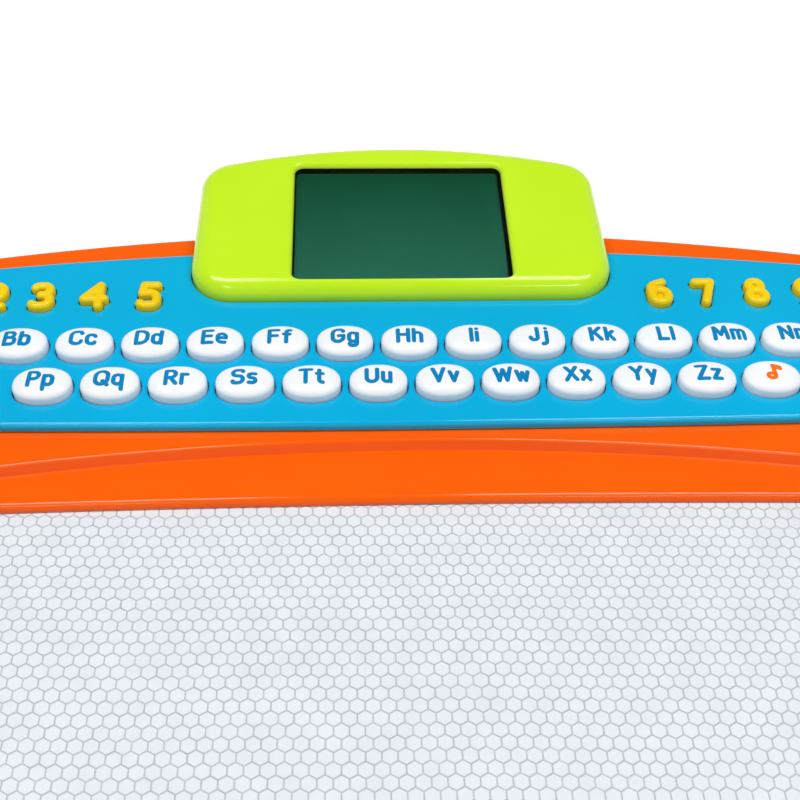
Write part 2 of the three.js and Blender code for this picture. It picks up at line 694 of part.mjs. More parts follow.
[-1, 0, 1].forEach((place, i) => {
  const half = CELL.length / 2;
  const geometry = turned([
    [0, -half],
    [CELL.radius, -half],
    [CELL.radius, half],
    [2.7, half],
    [2.7, half + CELL.nub],
    [0, half + CELL.nub],
  ], 12);
  const turn = place === 0 ? -1 : 1; // neighbours lie head to tail
  const cell = addMesh(`battery_${i + 1}`, geometry.rotateY((turn * Math.PI) / 2), CELL_GOLD);
  cell.position.set(0, (BAY.front + BAY.rear) / 2 + place * CELL.pitch, CELL.z);
});

for (const [name, y] of [["foot_front", FOOT.frontY], ["foot_rear", FOOT.rearY]]) {
  const outline = roundedBox(-FOOT.halfLength, FOOT.halfLength, y - FOOT.width / 2, y + FOOT.width / 2, 3);
  addMesh(name, plate(outline, 0, FOOT.height), BLACK);
}

export default part;
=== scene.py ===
"""Looks for the electronic learning board: shells, keys, legends, honeycomb and studio round the CAD frame.

Helpers work in millimetres. A mesh becomes metres when it is made.
"""

import math

import bpy
import numpy as np
from mathutils import Matrix, Vector


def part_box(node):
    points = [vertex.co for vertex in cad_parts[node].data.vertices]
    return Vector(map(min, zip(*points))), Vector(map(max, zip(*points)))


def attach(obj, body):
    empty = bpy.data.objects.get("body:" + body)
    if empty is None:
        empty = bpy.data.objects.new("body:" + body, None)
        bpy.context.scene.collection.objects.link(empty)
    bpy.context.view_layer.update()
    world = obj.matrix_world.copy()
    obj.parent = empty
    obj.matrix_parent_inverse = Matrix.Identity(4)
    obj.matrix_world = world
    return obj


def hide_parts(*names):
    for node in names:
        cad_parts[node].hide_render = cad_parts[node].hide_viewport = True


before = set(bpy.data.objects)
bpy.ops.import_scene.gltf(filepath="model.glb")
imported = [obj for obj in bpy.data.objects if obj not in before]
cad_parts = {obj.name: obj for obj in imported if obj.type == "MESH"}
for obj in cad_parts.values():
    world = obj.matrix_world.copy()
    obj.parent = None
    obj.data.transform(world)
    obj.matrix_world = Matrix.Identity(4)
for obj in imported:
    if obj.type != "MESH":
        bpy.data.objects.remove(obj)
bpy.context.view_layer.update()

MM = 0.001
GAP = 0.3
WALL = 2.4


# --- sizes from the frame


def box_mm(node):
    low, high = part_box(node)
    return np.array(low) / MM, np.array(high) / MM


CASE_LOW, CASE_HIGH = box_mm("top_shell")
BASE_Z = box_mm("base_shell")[0][2]
PANEL_LOW, PANEL_HIGH = box_mm("keyboard_panel")
POD_LOW, POD_HIGH = box_mm("screen_housing")
FILM_LOW, FILM_HIGH = box_mm("drawing_screen")
KNOB_LOW, KNOB_HIGH = box_mm("eraser_knob")

PARTING_Z = 13.0
DECK_Z = CASE_HIGH[2]
BAND_Z = DECK_Z - 2.8
PANEL_Z = PANEL_HIGH[2]
FILM_Z = FILM_HIGH[2]
FILM_LAP = 2.2  # how far the film reaches under the frame
CASE_EDGE = 2.3
PANEL_EDGE = 1.5

# Outlines in plan: half width, then (apex, radius, corner) at the rear and front ends.
CASE = (166, (135.8, 715, 30), (CASE_LOW[1], 1500, 38))
PANEL = (150, (123, 985, 12), (46.9, 7500, 9))
WINDOW = (138, (24.7, 5000, 8), (-141, 5000, 8))
STEP_APEX = 42.4
STEP_RADIUS = 800
STEP_RUN = 1.2  # how far the step's wall slopes out
STEP_EDGE = 1.1
STEP_REACH = 0.3  # half the angle of the step's arc

POD_X = -1
POD_FRONT = POD_LOW[1]
POD_FRONT_HALF = 65.6
POD_CORNER = 13.4
POD_REAR_HALF = 65
POD_REAR = (POD_HIGH[1], 210, 11.5)
POD_TILT = math.radians(4.2)
POD_TOP_FRONT = 34.1
POD_SKIN = 1.7
POD_ROLL = (5.9, 5.1)  # how far its upper edge rolls in, and down
LCD_OPENING = (POD_X - 34.2, POD_X + 34.2, 102.3, 154.6, 3)
LCD_EDGE = 1.8

KEY_HALF = (8.3, 6.2)
KEY_RIM_Z = 29.9
KEY_TOP_Z = 32.6
KEY_POWER = 2.25
DOME_POWER = 2.4
DOME_SHARES = (1, 0.997, 0.985, 0.965, 0.935, 0.89, 0.83, 0.75, 0.65, 0.54, 0.42, 0.3, 0.18, 0.08)
FLANGE_Z = (24.3, 25.4)
HOLE_CLEARANCE = 0.35
KEY_ROWS = (
    (78.0, list("abcdefghijklmno")),
    (61.6, [*"pqrstuvwxyz", "music"]),
)
KEY_PITCH = 19
DIGIT_Y = 99.5
DIGIT_FIRST_X = 78.6
DIGIT_PITCH = 15.5
DIGIT_HALF = 1.45
DIGIT_TOP = 30.9
DIGIT_EDGE = 1.35
DIGIT_FILL = 29.4
DIGIT_STRETCH = 1.1
DIGIT_SHIFT = {"3": -1.2, "4": -0.9, "7": -1.2, "8": -0.6}  # off the even pitch
SWITCH = (128.5, 61.6, 5.0, 4.4, 30.4)  # x, y, travel, knob, top
STYLUS = (151.5, -112.0, 4.0, 4.8, 22.0)  # x, front, rear, radius, z
GROOVE_RADIUS = 5.5
SCREWS = ((153, 97), (154, 33), (146, -146), (-153, 97), (-154, 33), (-146, -146))
DOOR = (-32, 32, 51, 111)
DOOR_SCREW = (0, 56.5)
BATTERY_BAY = (-28.5, 28.5, 62, 107)
SPEAKER = (-105, 80)
FOOT_Y = (-138, 118)
ERASER_SLOT = (-127, 127, -153, -148)
CABLE_HOLE = (-16, 14, 124, 129)

CAMERA_PLACE = (-0.017275, -0.176742, 0.276223)  # metres
CAMERA_TURN = (3.388, 46.761, 1.886)  # yaw, pitch and roll in degrees
CAMERA_LENS = 54  # 1200 pixels of an 800 pixel frame
FLOOR_HALF = 4000


# --- outlines


def outline_round(circles, inset=0.0, tolerance=0.012):
    """Points round a ring of (x, y, r) circles, anticlockwise, as many at every inset."""
    normals, joins = [], []
    for (x, y, r), (nx, ny, nr) in zip(circles, circles[1:] + circles[:1]):
        cosine = (r - nr) / math.hypot(nx - x, ny - y)
        joins.append(abs(cosine) > 1 - 1e-6)
        normals.append(math.atan2(ny - y, nx - x) - math.acos(max(-1.0, min(1.0, cosine))))
    points = []
    for i, (x, y, r) in enumerate(circles):
        sweep = (normals[i] - normals[i - 1]) % (2 * math.pi)
        count = max(2, math.ceil(sweep / (2 * math.acos(1 - min(tolerance / r, 0.2)))))
        for k in range(count if joins[i] else count + 1):
            angle = normals[i - 1] + sweep * k / count
            points.append((x + (r - inset) * math.cos(angle), y + (r - inset) * math.sin(angle)))
    return np.array(points)


def corner_circle(half_width, end, direction):
    apex, radius, corner = end
    x = half_width - corner
    rise = math.sqrt((radius - corner) ** 2 - x**2) - radius
    return x, apex + direction * rise, corner


def arched(shape):
    """Circles of an outline with straight sides and two arched ends."""
    half_width, rear, front = shape
    rx, ry, rr = corner_circle(half_width, rear, 1)
    fx, fy, fr = corner_circle(half_width, front, -1)
    rear_arc = (0, rear[0] - rear[1], rear[1])
    front_arc = (0, front[0] + front[1], front[1])
    return [(fx, fy, fr), (rx, ry, rr), rear_arc, (-rx, ry, rr), (-fx, fy, fr), front_arc]


def pod_circles():
    """Circles of the housing's outline: round front corners, sides that lean in a little, an arched rear."""
    rear_apex, rear_radius, _ = POD_REAR
    rx, ry, rr = corner_circle(POD_REAR_HALF, POD_REAR, 1)
    fx, fy = POD_FRONT_HALF - POD_CORNER, POD_FRONT + POD_CORNER
    rear_arc = (0, rear_apex - rear_radius, rear_radius)
    circles = [(fx, fy, POD_CORNER), (rx, ry, rr), rear_arc, (-rx, ry, rr), (-fx, fy, POD_CORNER)]
    return [(x + POD_X, y, r) for x, y, r in circles]


def box_circles(x0, x1, y0, y1, r):
    return [(x1 - r, y0 + r, r), (x1 - r, y1 - r, r), (x0 + r, y1 - r, r), (x0 + r, y0 + r, r)]


def oval(x, y, half_width, half_depth, count=56):
    """A slightly squared ellipse."""
    angle = np.linspace(0, 2 * math.pi, count, endpoint=False)
    c, s = np.cos(angle), np.sin(angle)
    reach = (np.abs(c) ** KEY_POWER + np.abs(s) ** KEY_POWER) ** (-1 / KEY_POWER)
    return np.stack([x + half_width * c * reach, y + half_depth * s * reach], -1)


# --- shells: (vertices, faces)


def merged(shells):
    vertices, faces, first = [], [], 0
    for some, their_faces in shells:
        vertices.append(some)
        faces += [tuple(first + v for v in face) for face in their_faces]
        first += len(some)
    return np.concatenate(vertices), faces


def welded(shell):
    """Joins vertices that share a place and drops what collapses."""
    vertices, faces = shell
    _, keep, index = np.unique(np.round(vertices, 4), axis=0, return_index=True, return_inverse=True)
    index = index.ravel()
    kept = []
    for face in faces:
        ring = [int(index[v]) for v in face]
        ring = [v for i, v in enumerate(ring) if v != ring[i - 1]]
        if len(set(ring)) > 2:
            kept.append(tuple(ring))
    return vertices[keep], kept


def ring_faces(rows, columns, first=0):
    faces = []
    for i in range(rows - 1):
        for j in range(columns):
            a = first + i * columns + j
            b = first + i * columns + (j + 1) % columns
            faces.append((a, b, b + columns, a + columns))
    return faces


def loft(rings):
    """A closed shell through rings of the same number of points, from the bottom up."""
    count = len(rings[0])
    faces = ring_faces(len(rings), count)
    faces.append(tuple(reversed(range(count))))
    faces.append(tuple(range((len(rings) - 1) * count, len(rings) * count)))
    return np.concatenate(rings), faces


def level(points, z):
    return np.column_stack([points, np.broadcast_to(z, len(points))])


def quarter(steps):
    return [math.pi / 2 * k / steps for k in range(steps + 1)]


def rolled(top, run, drop, steps, start=0.0):
    """(inset, height) pairs over a rounded upper edge: from start, run inwards and drop below the top."""
    return [(start + run * (1 - math.cos(a)), top - drop * (1 - math.sin(a))) for a in quarter(steps)]


def wall_profile(bottom, top, low_edge=0.0, high_edge=0.0, steps=8):
    """(inset, height) pairs up an outer wall with rounded edges."""
    pairs = [(0.0, bottom)]
    if low_edge:
        turns = [(1 - math.sin(a), 1 - math.cos(a)) for a in quarter(steps)]
        pairs = [(low_edge * inwards, bottom + low_edge * up) for inwards, up in turns]
    return pairs + (rolled(top, high_edge, high_edge, steps) if high_edge else [(0.0, top)])


def hole_profile(bottom, top, radius, steps=6):
    """(inset, height) pairs of a cutter that rounds the upper edge of the hole that it makes."""
    edge = rolled(top, -radius, radius, steps)[:-1]
    return [(0.0, bottom), *edge, (-radius, top + 0.02), (-radius, top + 3)]


def block(circles, profile, slope=None, sloped_from=0):
    """A loft of an outline along (inset, height) pairs. slope(y) lifts the rings from sloped_from on."""
    rings = []
    for i, (inset, height) in enumerate(profile):
        points = outline_round(circles, inset)
        lift = slope(points[:, 1]) if slope and i >= sloped_from else 0.0
        rings.append(level(points, height + lift))
    return loft(rings)


def turned(profile, sides, centre, axis="Z"):
    """A solid of revolution from (radius, height) pairs, standing on Z or lying along Y."""
    angle = np.linspace(0, 2 * math.pi, sides, endpoint=False)
    rings = []
    for radius, height in profile:
        x, y = radius * np.cos(angle), radius * np.sin(angle)
        along = np.full(sides, height)
        columns = [x, y, along] if axis == "Z" else [x, along, -y]
        rings.append(np.stack(columns, -1) + np.array(centre))
    return loft(rings)


# --- objects


def new_object(name, shell):
    vertices, faces = shell
    mesh = bpy.data.meshes.new(name)
    mesh.from_pydata((np.asarray(vertices, float) * MM).tolist(), [], faces)
    mesh.update()
    obj = bpy.data.objects.new(name, mesh)
    bpy.context.scene.collection.objects.link(obj)
    return obj


def freeze(obj):
    """Replaces the mesh by what its modifiers make of it."""
    depsgraph = bpy.context.evaluated_depsgraph_get()
    mesh = bpy.data.meshes.new_from_object(obj.evaluated_get(depsgraph))
    old = obj.data
    obj.modifiers.clear()
    obj.data = mesh
    bpy.data.meshes.remove(old)


def carve_with(obj, tool, operation="DIFFERENCE"):
    """Cuts with, or adds, a closed object and removes it."""
    modifier = obj.modifiers.new("carve", "BOOLEAN")
    modifier.operation = operation
    modifier.solver = "EXACT"
    modifier.object = tool
    freeze(obj)
    bpy.data.objects.remove(tool)


def carve(obj, shells, operation="DIFFERENCE"):
    carve_with(obj, new_object("tool", merged(shells)), operation)


def finish_piece(obj, body, materials, replaces=(), angle=32.0, weighted=True):
    for material in materials:
        obj.data.materials.append(material)
    obj.data.shade_smooth()
    obj.data.set_sharp_from_angle(angle=math.radians(angle))
    if weighted:
        modifier = obj.modifiers.new("flat faces", "WEIGHTED_NORMAL")
        modifier.keep_sharp = True
        modifier.weight = 100
    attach(obj, body)
    if replaces:
        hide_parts(*replaces)


# --- strokes: legends and number keys


def rounded_path(points, radius, closed, steps=6):
    """A line through points, with its corners replaced by arcs of up to the given radius."""
    points = [np.array(p, float) for p in points]
    last = len(points) - 1
    path = [] if closed else [points[0]]
    for i in range(len(points)) if closed else range(1, last):
        corner = points[i]
        u, v = points[i - 1] - corner, points[(i + 1) % len(points)] - corner
        lu, lv = np.linalg.norm(u), np.linalg.norm(v)
        u, v = u / lu, v / lv
        half = math.acos(max(-1.0, min(1.0, float(u @ v)))) / 2
        room_u = lu if not closed and i == 1 else lu / 2
        room_v = lv if not closed and i == last - 1 else lv / 2
        reach = min(radius / math.tan(half), 0.998 * room_u, 0.998 * room_v)
        bend = reach * math.tan(half)
        if bend < 1e-3:
            path.append(corner)
            continue
        bisector = (u + v) / np.linalg.norm(u + v)
        centre = corner + bisector * bend / math.sin(half)
        start, end = corner + u * reach - centre, corner + v * reach - centre
        first = math.atan2(start[1], start[0])
        turn = (math.atan2(end[1], end[0]) - first + math.pi) % (2 * math.pi) - math.pi
        for k in range(steps + 1):
            angle = first + turn * k / steps
            path.append(centre + bend * np.array([math.cos(angle), math.sin(angle)]))
    if not closed:
        path.append(points[-1])
    kept = [path[0]]
    for p in path[1:]:
        if np.linalg.norm(p - kept[-1]) > 0.01:
            kept.append(p)
    if closed and np.linalg.norm(kept[0] - kept[-1]) < 0.01:
        kept.pop()
    return np.array(kept)


def subdivided(path, longest, closed):
    ends = np.vstack([path, path[:1]]) if closed else path
    out = []
    for a, b in zip(ends[:-1], ends[1:]):
        count = max(1, math.ceil(np.linalg.norm(b - a) / longest))
        out += [a + (b - a) * k / count for k in range(count)]
    if not closed:
        out.append(ends[-1])
    return np.array(out)


def spokes(path, closed, cap_steps=8):
    """Centre points and outward directions round a stroke: up one side, round the end and back."""
    if closed:
        ahead, behind = np.roll(path, -1, 0) - path, path - np.roll(path, 1, 0)
    else:
        step = np.diff(path, axis=0)
        ahead, behind = np.vstack([step, step[-1:]]), np.vstack([step[:1], step])
    ahead = ahead / np.linalg.norm(ahead, axis=1)[:, None]
    behind = behind / np.linalg.norm(behind, axis=1)[:, None]
    tangent = ahead + behind
    tangent /= np.linalg.norm(tangent, axis=1)[:, None]
    right = np.column_stack([tangent[:, 1], -tangent[:, 0]])
    if closed:
        return [(path, right), (path[::-1], -right[::-1])]
    centres, directions = list(path), list(right)

    def cap(centre, start):
        base = math.atan2(start[1], start[0])
        for k in range(1, cap_steps):
            angle = base + math.pi * k / cap_steps
            centres.append(centre)
            directions.append(np.array([math.cos(angle), math.sin(angle)]))

    cap(path[-1], right[-1])
    centres += list(path[::-1])
    directions += list(-right[::-1])
    cap(path[0], -right[0])
    return [(np.array(centres), np.array(directions))]


def bar(path, closed, profile, surface=None):
    """A closed bar along a path. profile holds (half width, height) pairs from the middle of the underside,
    over the edge, to the middle of the top. surface(x, y) lifts it, so that a print follows a curved key."""
    shells = []
    for centres, directions in spokes(path, closed):
        rows = []
        for half, height in profile:
            xy = centres + directions * half
            lift = surface(xy[:, 0], xy[:, 1]) if surface else 0.0
            rows.append(level(xy, height + lift))
        shells.append((np.concatenate(rows), ring_faces(len(profile), len(centres))))
    return welded(merged(shells))


BOWL = "o.28|0,0 .56,0 .56,.7 0,.7"


def glyph_table(text):
    """Glyphs by name. In each line @ stands for the bowl that several small letters share."""
    return dict(line.replace("@", BOWL).split(" ", 1) for line in text.strip().splitlines())


# Each letter on a cap height of 1: corner radius (after an o for a closed loop), then strokes of x,y points.
CAPITALS = glyph_table("""
a 0|0,0 .4,1|.4,1 .8,0|.15,.3 .65,.3
b .24|0,0 0,1|0,1 .6,1 .6,.53 0,.53|0,.53 .68,.53 .68,0 0,0
c .38|.74,.8 .74,1 0,1 0,0 .74,0 .74,.2
d .4|0,0 0,1|0,1 .76,1 .76,0 0,0
e 0|.62,1 0,1|0,1 0,0|0,0 .62,0|0,.52 .54,.52
f 0|.62,1 0,1|0,1 0,0|0,.5 .52,.5
g .38|.74,.82 .74,1 0,1 0,0 .76,0 .76,.46|.76,.46 .44,.46
h 0|0,0 0,1|.72,0 .72,1|0,.52 .72,.52
i 0|0,0 0,1
j .28|.5,1 .5,0 0,0 0,.22
k 0|0,0 0,1|.64,1 0,.4|.22,.6 .68,0
l 0|0,1 0,0|0,0 .56,0
m 0|0,0 .06,1|.06,1 .44,.3|.44,.3 .82,1|.82,1 .88,0
n 0|0,0 0,1|0,1 .7,0|.7,0 .7,1
o o.42|0,0 .84,0 .84,1 0,1
p .27|0,0 0,1|0,1 .64,1 .64,.44 0,.44
q o.42|0,0 .84,0 .84,1 0,1/0|.52,.24 .84,-.06
r .27|0,0 0,1|0,1 .64,1 .64,.44 0,.44|.3,.44 .68,0
s .24|.68,.86 .68,1 0,1 0,.52 .68,.52 .68,0 0,0 0,.14
t 0|0,1 .74,1|.37,1 .37,0
u .36|0,1 0,0 .72,0 .72,1
v 0|0,1 .38,0|.38,0 .76,1
w 0|0,1 .27,0|.27,0 .54,.85|.54,.85 .81,0|.81,0 1.08,1
x 0|0,1 .7,0|0,0 .7,1
y 0|0,1 .36,.48|.36,.48 .72,1|.36,.48 .36,0
z 0|0,1 .66,1|.66,1 0,0|0,0 .68,0
""")
SMALL = glyph_table("""
a @/0|.56,.7 .56,0
b @/0|0,1 0,0
c .28|.54,.58 .54,.7 0,.7 0,0 .54,0 .54,.12
d @/0|.56,1 .56,0
e .27|0,.37 .56,.37|.56,.37 .56,.7 0,.7 0,0 .5,.02
f .2|.44,1 .17,1 .17,0|0,.64 .4,.64
g @/.24|.56,.7 .56,-.28 .04,-.28 .04,-.16
h .26|0,1 0,0|0,.34 0,.7 .52,.7 .52,0
i 0|0,.68 0,0|0,.98 0,1
j .2|.24,.68 .24,-.28 -.04,-.28|.24,.98 .24,1
k 0|0,1 0,0|.46,.68 0,.24|.16,.4 .5,0
l 0|0,1 0,0
m .2|0,.7 0,0|0,.34 0,.7 .42,.7 .42,0|.42,.34 .42,.7 .84,.7 .84,0
n .25|0,.7 0,0|0,.34 0,.7 .5,.7 .5,0
o o.29|0,0 .58,0 .58,.7 0,.7
p @/0|0,.7 0,-.3
q @/0|.56,.7 .56,-.3
r .2|0,.7 0,0|0,.36 0,.7 .36,.7
s .17|.44,.68 0,.7 0,.36 .46,.36 .46,0 .02,.02
t .18|.16,.96 .16,0 .4,0|0,.66 .38,.66
u .25|0,.7 0,0 .5,0 .5,.36|.5,.7 .5,0
v 0|0,.7 .27,0|.27,0 .54,.7
w 0|0,.7 .2,0|.2,0 .4,.6|.4,.6 .6,0|.6,0 .8,.7
x 0|0,.7 .5,0|0,0 .5,.7
y 0|0,.7 .28,.05|.54,.7 .14,-.3
z 0|0,.7 .48,.7|.48,.7 0,0|0,0 .5,0
""")
NOTE = "o.2|0,0 .5,0 .5,.34 0,.34/0|.5,.16 .5,1|.5,1 .95,.86|.5,.84 .95,.7"
LEGEND_HEIGHT = 5.0
LEGEND_HALF = 0.64
LEGEND_NARROW = 0.83
LEGEND_SPACE = 0.33
LEGEND_LIFT = 0.3
PRINT = [(0, -0.12), (LEGEND_HALF, -0.12), (LEGEND_HALF, 0.02), (LEGEND_HALF * 0.92, 0.05), (0, 0.06)]


def read_strokes(text):
    """(points, radius, closed) for each stroke of a glyph's text."""
    strokes = []
    for group in text.split("/"):
        head, *parts = group.split("|")
        for part in parts:
            points = [tuple(float(n) for n in pair.split(",")) for pair in part.split()]
            strokes.append((points, float(head.lstrip("o")), head.startswith("o")))
    return strokes


def glyph_width(text):
    return LEGEND_NARROW * max(x for points, _, _ in read_strokes(text) for x, _ in points)


def print_shells(text, x, y, surface):
    """A glyph printed on a curved key, with its lower left corner at x, y."""
    shells = []
    for points, radius, closed in read_strokes(text):
        placed = [(x + px * LEGEND_HEIGHT * LEGEND_NARROW, y + py * LEGEND_HEIGHT) for px, py in points]
        path = subdivided(rounded_path(placed, radius * LEGEND_HEIGHT, closed), 0.8, closed)
        shells.append(bar(path, closed, PRINT, surface))
    return shells


def legend_shell(name, x, y, surface):
    """A capital and a small letter, centred a little behind the middle of the key."""
    low = y + LEGEND_LIFT - LEGEND_HEIGHT / 2
    if name == "music":
        return merged(print_shells(NOTE, x - glyph_width(NOTE) * LEGEND_HEIGHT / 2, low, surface))
    capital, small = CAPITALS[name], SMALL[name]
    wide = (glyph_width(capital) + LEGEND_SPACE) * LEGEND_HEIGHT
    left = x - (wide + glyph_width(small) * LEGEND_HEIGHT) / 2
    return merged(print_shells(capital, left, low, surface) + print_shells(small, left + wide, low, surface))


# --- materials


def new_material(name):
    material = bpy.data.materials.new(name)
    material.use_nodes = True
    tree = material.node_tree
    return material, tree, tree.nodes["Principled BSDF"]


def linear(red, green, blue):
    """Linear colour from display values of 0 to 255."""
    values = [c / 255 for c in (red, green, blue)]
    return tuple(c / 12.92 if c <= 0.04045 else ((c + 0.055) / 1.055) ** 2.4 for c in values) + (1.0,)


def put(tree, node, sockets):
    """Fills a node's sockets: another node's output is linked, anything else is the socket's own value."""
    for socket, value in sockets.items():
        if isinstance(value, bpy.types.NodeSocket):
            tree.links.new(value, node.inputs[socket])
        else:
            node.inputs[socket].default_value = value


def add_node(tree, kind, sockets):
    node = tree.nodes.new("ShaderNode" + kind)
    put(tree, node, sockets)
    return node


def place_of(tree, space="Object"):
    return tree.nodes.new("ShaderNodeTexCoord").outputs[space]


def axis_of(tree, axis, space="Object"):
    return add_node(tree, "SeparateXYZ", {"Vector": place_of(tree, space)}).outputs[axis]


def noise_of(tree, scale, detail=2.0, stretch=(1, 1, 1)):
    mapping = add_node(tree, "Mapping", {"Vector": place_of(tree), "Scale": stretch})
    sockets = {"Vector": mapping.outputs["Vector"], "Scale": scale, "Detail": detail}
    return add_node(tree, "TexNoise", sockets).outputs["Fac"]


def ranged(tree, value, low, high, source=(0.3, 0.7)):
    sockets = {"From Min": source[0], "From Max": source[1], "To Min": low, "To Max": high, "Value": value}
    return add_node(tree, "MapRange", sockets).outputs["Result"]


def uneven(tree, scale, low, high, detail=2.0):
    """A value that wanders between low and high."""
    return ranged(tree, noise_of(tree, scale, detail), low, high)


def mixed(tree, factor, *colours):
    """A mix of two colours, each given by display values or as a node's output."""
    first, second = (linear(*c) if isinstance(c, tuple) else c for c in colours)
    node = tree.nodes.new("ShaderNodeMix")
    node.data_type = "RGBA"
    put(tree, node, {"Factor": factor, 6: first, 7: second})
    return node.outputs[2]


def bumped(tree, height, distance):
    return add_node(tree, "Bump", {"Distance": distance, "Height": height}).outputs["Normal"]


def plastic(name, colour, deep, roughness, grain=0.000003, specular=0.5):
    """Moulded plastic: slow drift between two tones, faint flow marks, fine grain and uneven gloss."""
    material, tree, shader = new_material(name)
    tone = mixed(tree, uneven(tree, 14, 0, 1, 3), colour, deep)
    flow = ranged(tree, noise_of(tree, 55, 4, (1, 0.25, 1)), 0, 0.35)
    put(tree, shader, {
        "Base Color": mixed(tree, flow, tone, deep),
        "Roughness": uneven(tree, 160, roughness * 0.85, roughness * 1.2, 4),
        "Normal": bumped(tree, noise_of(tree, 1500, 3), grain),
        "IOR": 1.46,
        "Specular IOR Level": specular,
    })
    return material


def speckled(name, colours, tone, gloss, grain=None, sockets=None):
    """Two colours by noise_of(*tone), roughness by uneven(*gloss), grain of (scale, detail, height)."""
    material, tree, shader = new_material(name)
    speckle = ranged(tree, noise_of(tree, *tone), 0, 1)
    put(tree, shader, {"Base Color": mixed(tree, speckle, *colours), "Roughness": uneven(tree, *gloss)})
    if grain:
        put(tree, shader, {"Normal": bumped(tree, noise_of(tree, *grain[:2]), grain[2])})
    put(tree, shader, sockets or {})
    return material


def circuit_board():
    """Green board with darker tracks and gold pads."""
    material, tree, shader = new_material("circuit_board")
    brick = add_node(tree, "TexBrick", {
        "Scale": 110,
        "Mortar Size": 0.03,
        "Color1": linear(22, 96, 52),
        "Color2": linear(28, 112, 60),
        "Mortar": linear(70, 150, 80),
        "Vector": place_of(tree),
    })
    pads = ranged(tree, noise_of(tree, 260, 1), 0, 1, (0.68, 0.7))
    put(tree, shader, {
        "Base Color": mixed(tree, pads, brick.outputs["Color"], (200, 160, 80)),
        "Roughness": uneven(tree, 300, 0.35, 0.6),
        "Normal": bumped(tree, brick.outputs["Fac"], 0.00003),
    })
    return material


def cell_wrap():
    """Battery sleeve: dark with a copper end band."""
    material, tree, shader = new_material("battery_wrap")
    band = ranged(tree, axis_of(tree, "X"), 0, 1, (0.0078, 0.008))
    dark = mixed(tree, uneven(tree, 300, 0, 1, 4), (34, 36, 40), (48, 50, 56))
    put(tree, shader, {
        "Base Color": mixed(tree, band, dark, (186, 128, 60)),
        "Roughness": uneven(tree, 200, 0.25, 0.45),
        "Metallic": 0.4,
    })
    return material


def film_cell():
    """White film over the honeycomb, each part of it a little lighter or darker, with faint magnetic dust."""
    material, tree, shader = new_material("film_cell")
    dust = ranged(tree, noise_of(tree, 2600, 3), 0, 0.15, (0.55, 0.75))
    colour = mixed(tree, uneven(tree, 130, 0, 1), (224, 230, 236), (230, 236, 241))
    put(tree, shader, {
        "Base Color": mixed(tree, dust, colour, (176, 182, 190)),
        "Roughness": uneven(tree, 90, 0.28, 0.42),
        "Normal": bumped(tree, noise_of(tree, 900, 2), 0.000004),
        "Specular IOR Level": 0.3,
    })
    return material


def display(low, high):
    """Liquid crystal behind a black mask: green with a painted reflection, lighter towards the front and
    darker at the rear, with a faint dot grid.
    """
    material, tree, shader = new_material("display")
    depth = ranged(tree, axis_of(tree, "Y"), 0, 1, (low * MM, high * MM))
    # Painted reflection: the green runs from light at the front edge of the glass to dark at the rear.
    green = mixed(tree, depth, (48, 114, 94), (2, 74, 50))
    dots = {"Scale": 1000, "Brick Width": 0.8, "Row Height": 0.8, "Mortar Size": 0.06}
    checks = add_node(tree, "TexBrick", {**dots, "Vector": place_of(tree)})
    checks.offset = 0.0
    grid = ranged(tree, checks.outputs["Fac"], 0, 0.18, (0, 1))
    put(tree, shader, {
        "Base Color": mixed(tree, grid, green, (14, 50, 30)),
        "Roughness": uneven(tree, 60, 0.12, 0.2),
        "Specular IOR Level": 0.05,
    })
    return material


ORANGE = plastic("orange_plastic", (254, 100, 0), (250, 93, 0), 0.13, specular=0.36)
BLUE = plastic("blue_plastic", (0, 178, 226), (0, 170, 217), 0.15, specular=0.4)
GREEN = plastic("green_plastic", (200, 242, 38), (193, 237, 30), 0.13)
KEY_WHITE = plastic("white_key_plastic", (246, 248, 250), (240, 243, 246), 0.3)
YELLOW = plastic("yellow_key_plastic", (251, 216, 4), (240, 198, 0), 0.22, specular=0.35)
BLUE_INK = plastic("blue_ink", (0, 136, 194), (0, 126, 186), 0.45, specular=0.1)
ORANGE_INK = plastic("orange_ink", (250, 116, 20), (240, 100, 10), 0.45, specular=0.1)
BLACK = plastic("black_plastic", (22, 23, 25), (34, 35, 38), 0.5, grain=0.00001)
MASK_INK = plastic("mask_ink", (6, 8, 8), (12, 14, 14), 0.5, specular=0.05)
RUBBER = ((900, 5), (200, 0.75, 0.95), (2500, 4, 0.00002))
FOOT_RUBBER = speckled("foot_rubber", ((28, 28, 30), (44, 44, 46)), *RUBBER)
MAT_RUBBER = speckled("grey_rubber", ((150, 153, 158), (134, 138, 142)), *RUBBER)
BRUSHED = (400, 4, (1, 12, 1))
METAL = {"Metallic": 1.0}
STEEL = speckled("screw_steel", ((200, 202, 206), (150, 152, 158)), BRUSHED, (600, 0.21, 0.42), None, METAL)
MAGNET = speckled("magnet_bar", ((70, 72, 76), (46, 48, 52)), BRUSHED, (600, 0.35, 0.7), None, METAL)
FILM_LINE = speckled("film_line", ((176, 181, 189), (194, 199, 206)), (240, 3), (90, 0.35, 0.5))
CLEAR = speckled("clear_plastic", ((246, 252, 248), (240, 248, 244)), (40, 3), (300, 0.02, 0.05, 4),
                 None, {"Transmission Weight": 1.0, "IOR": 1.18})


# --- case


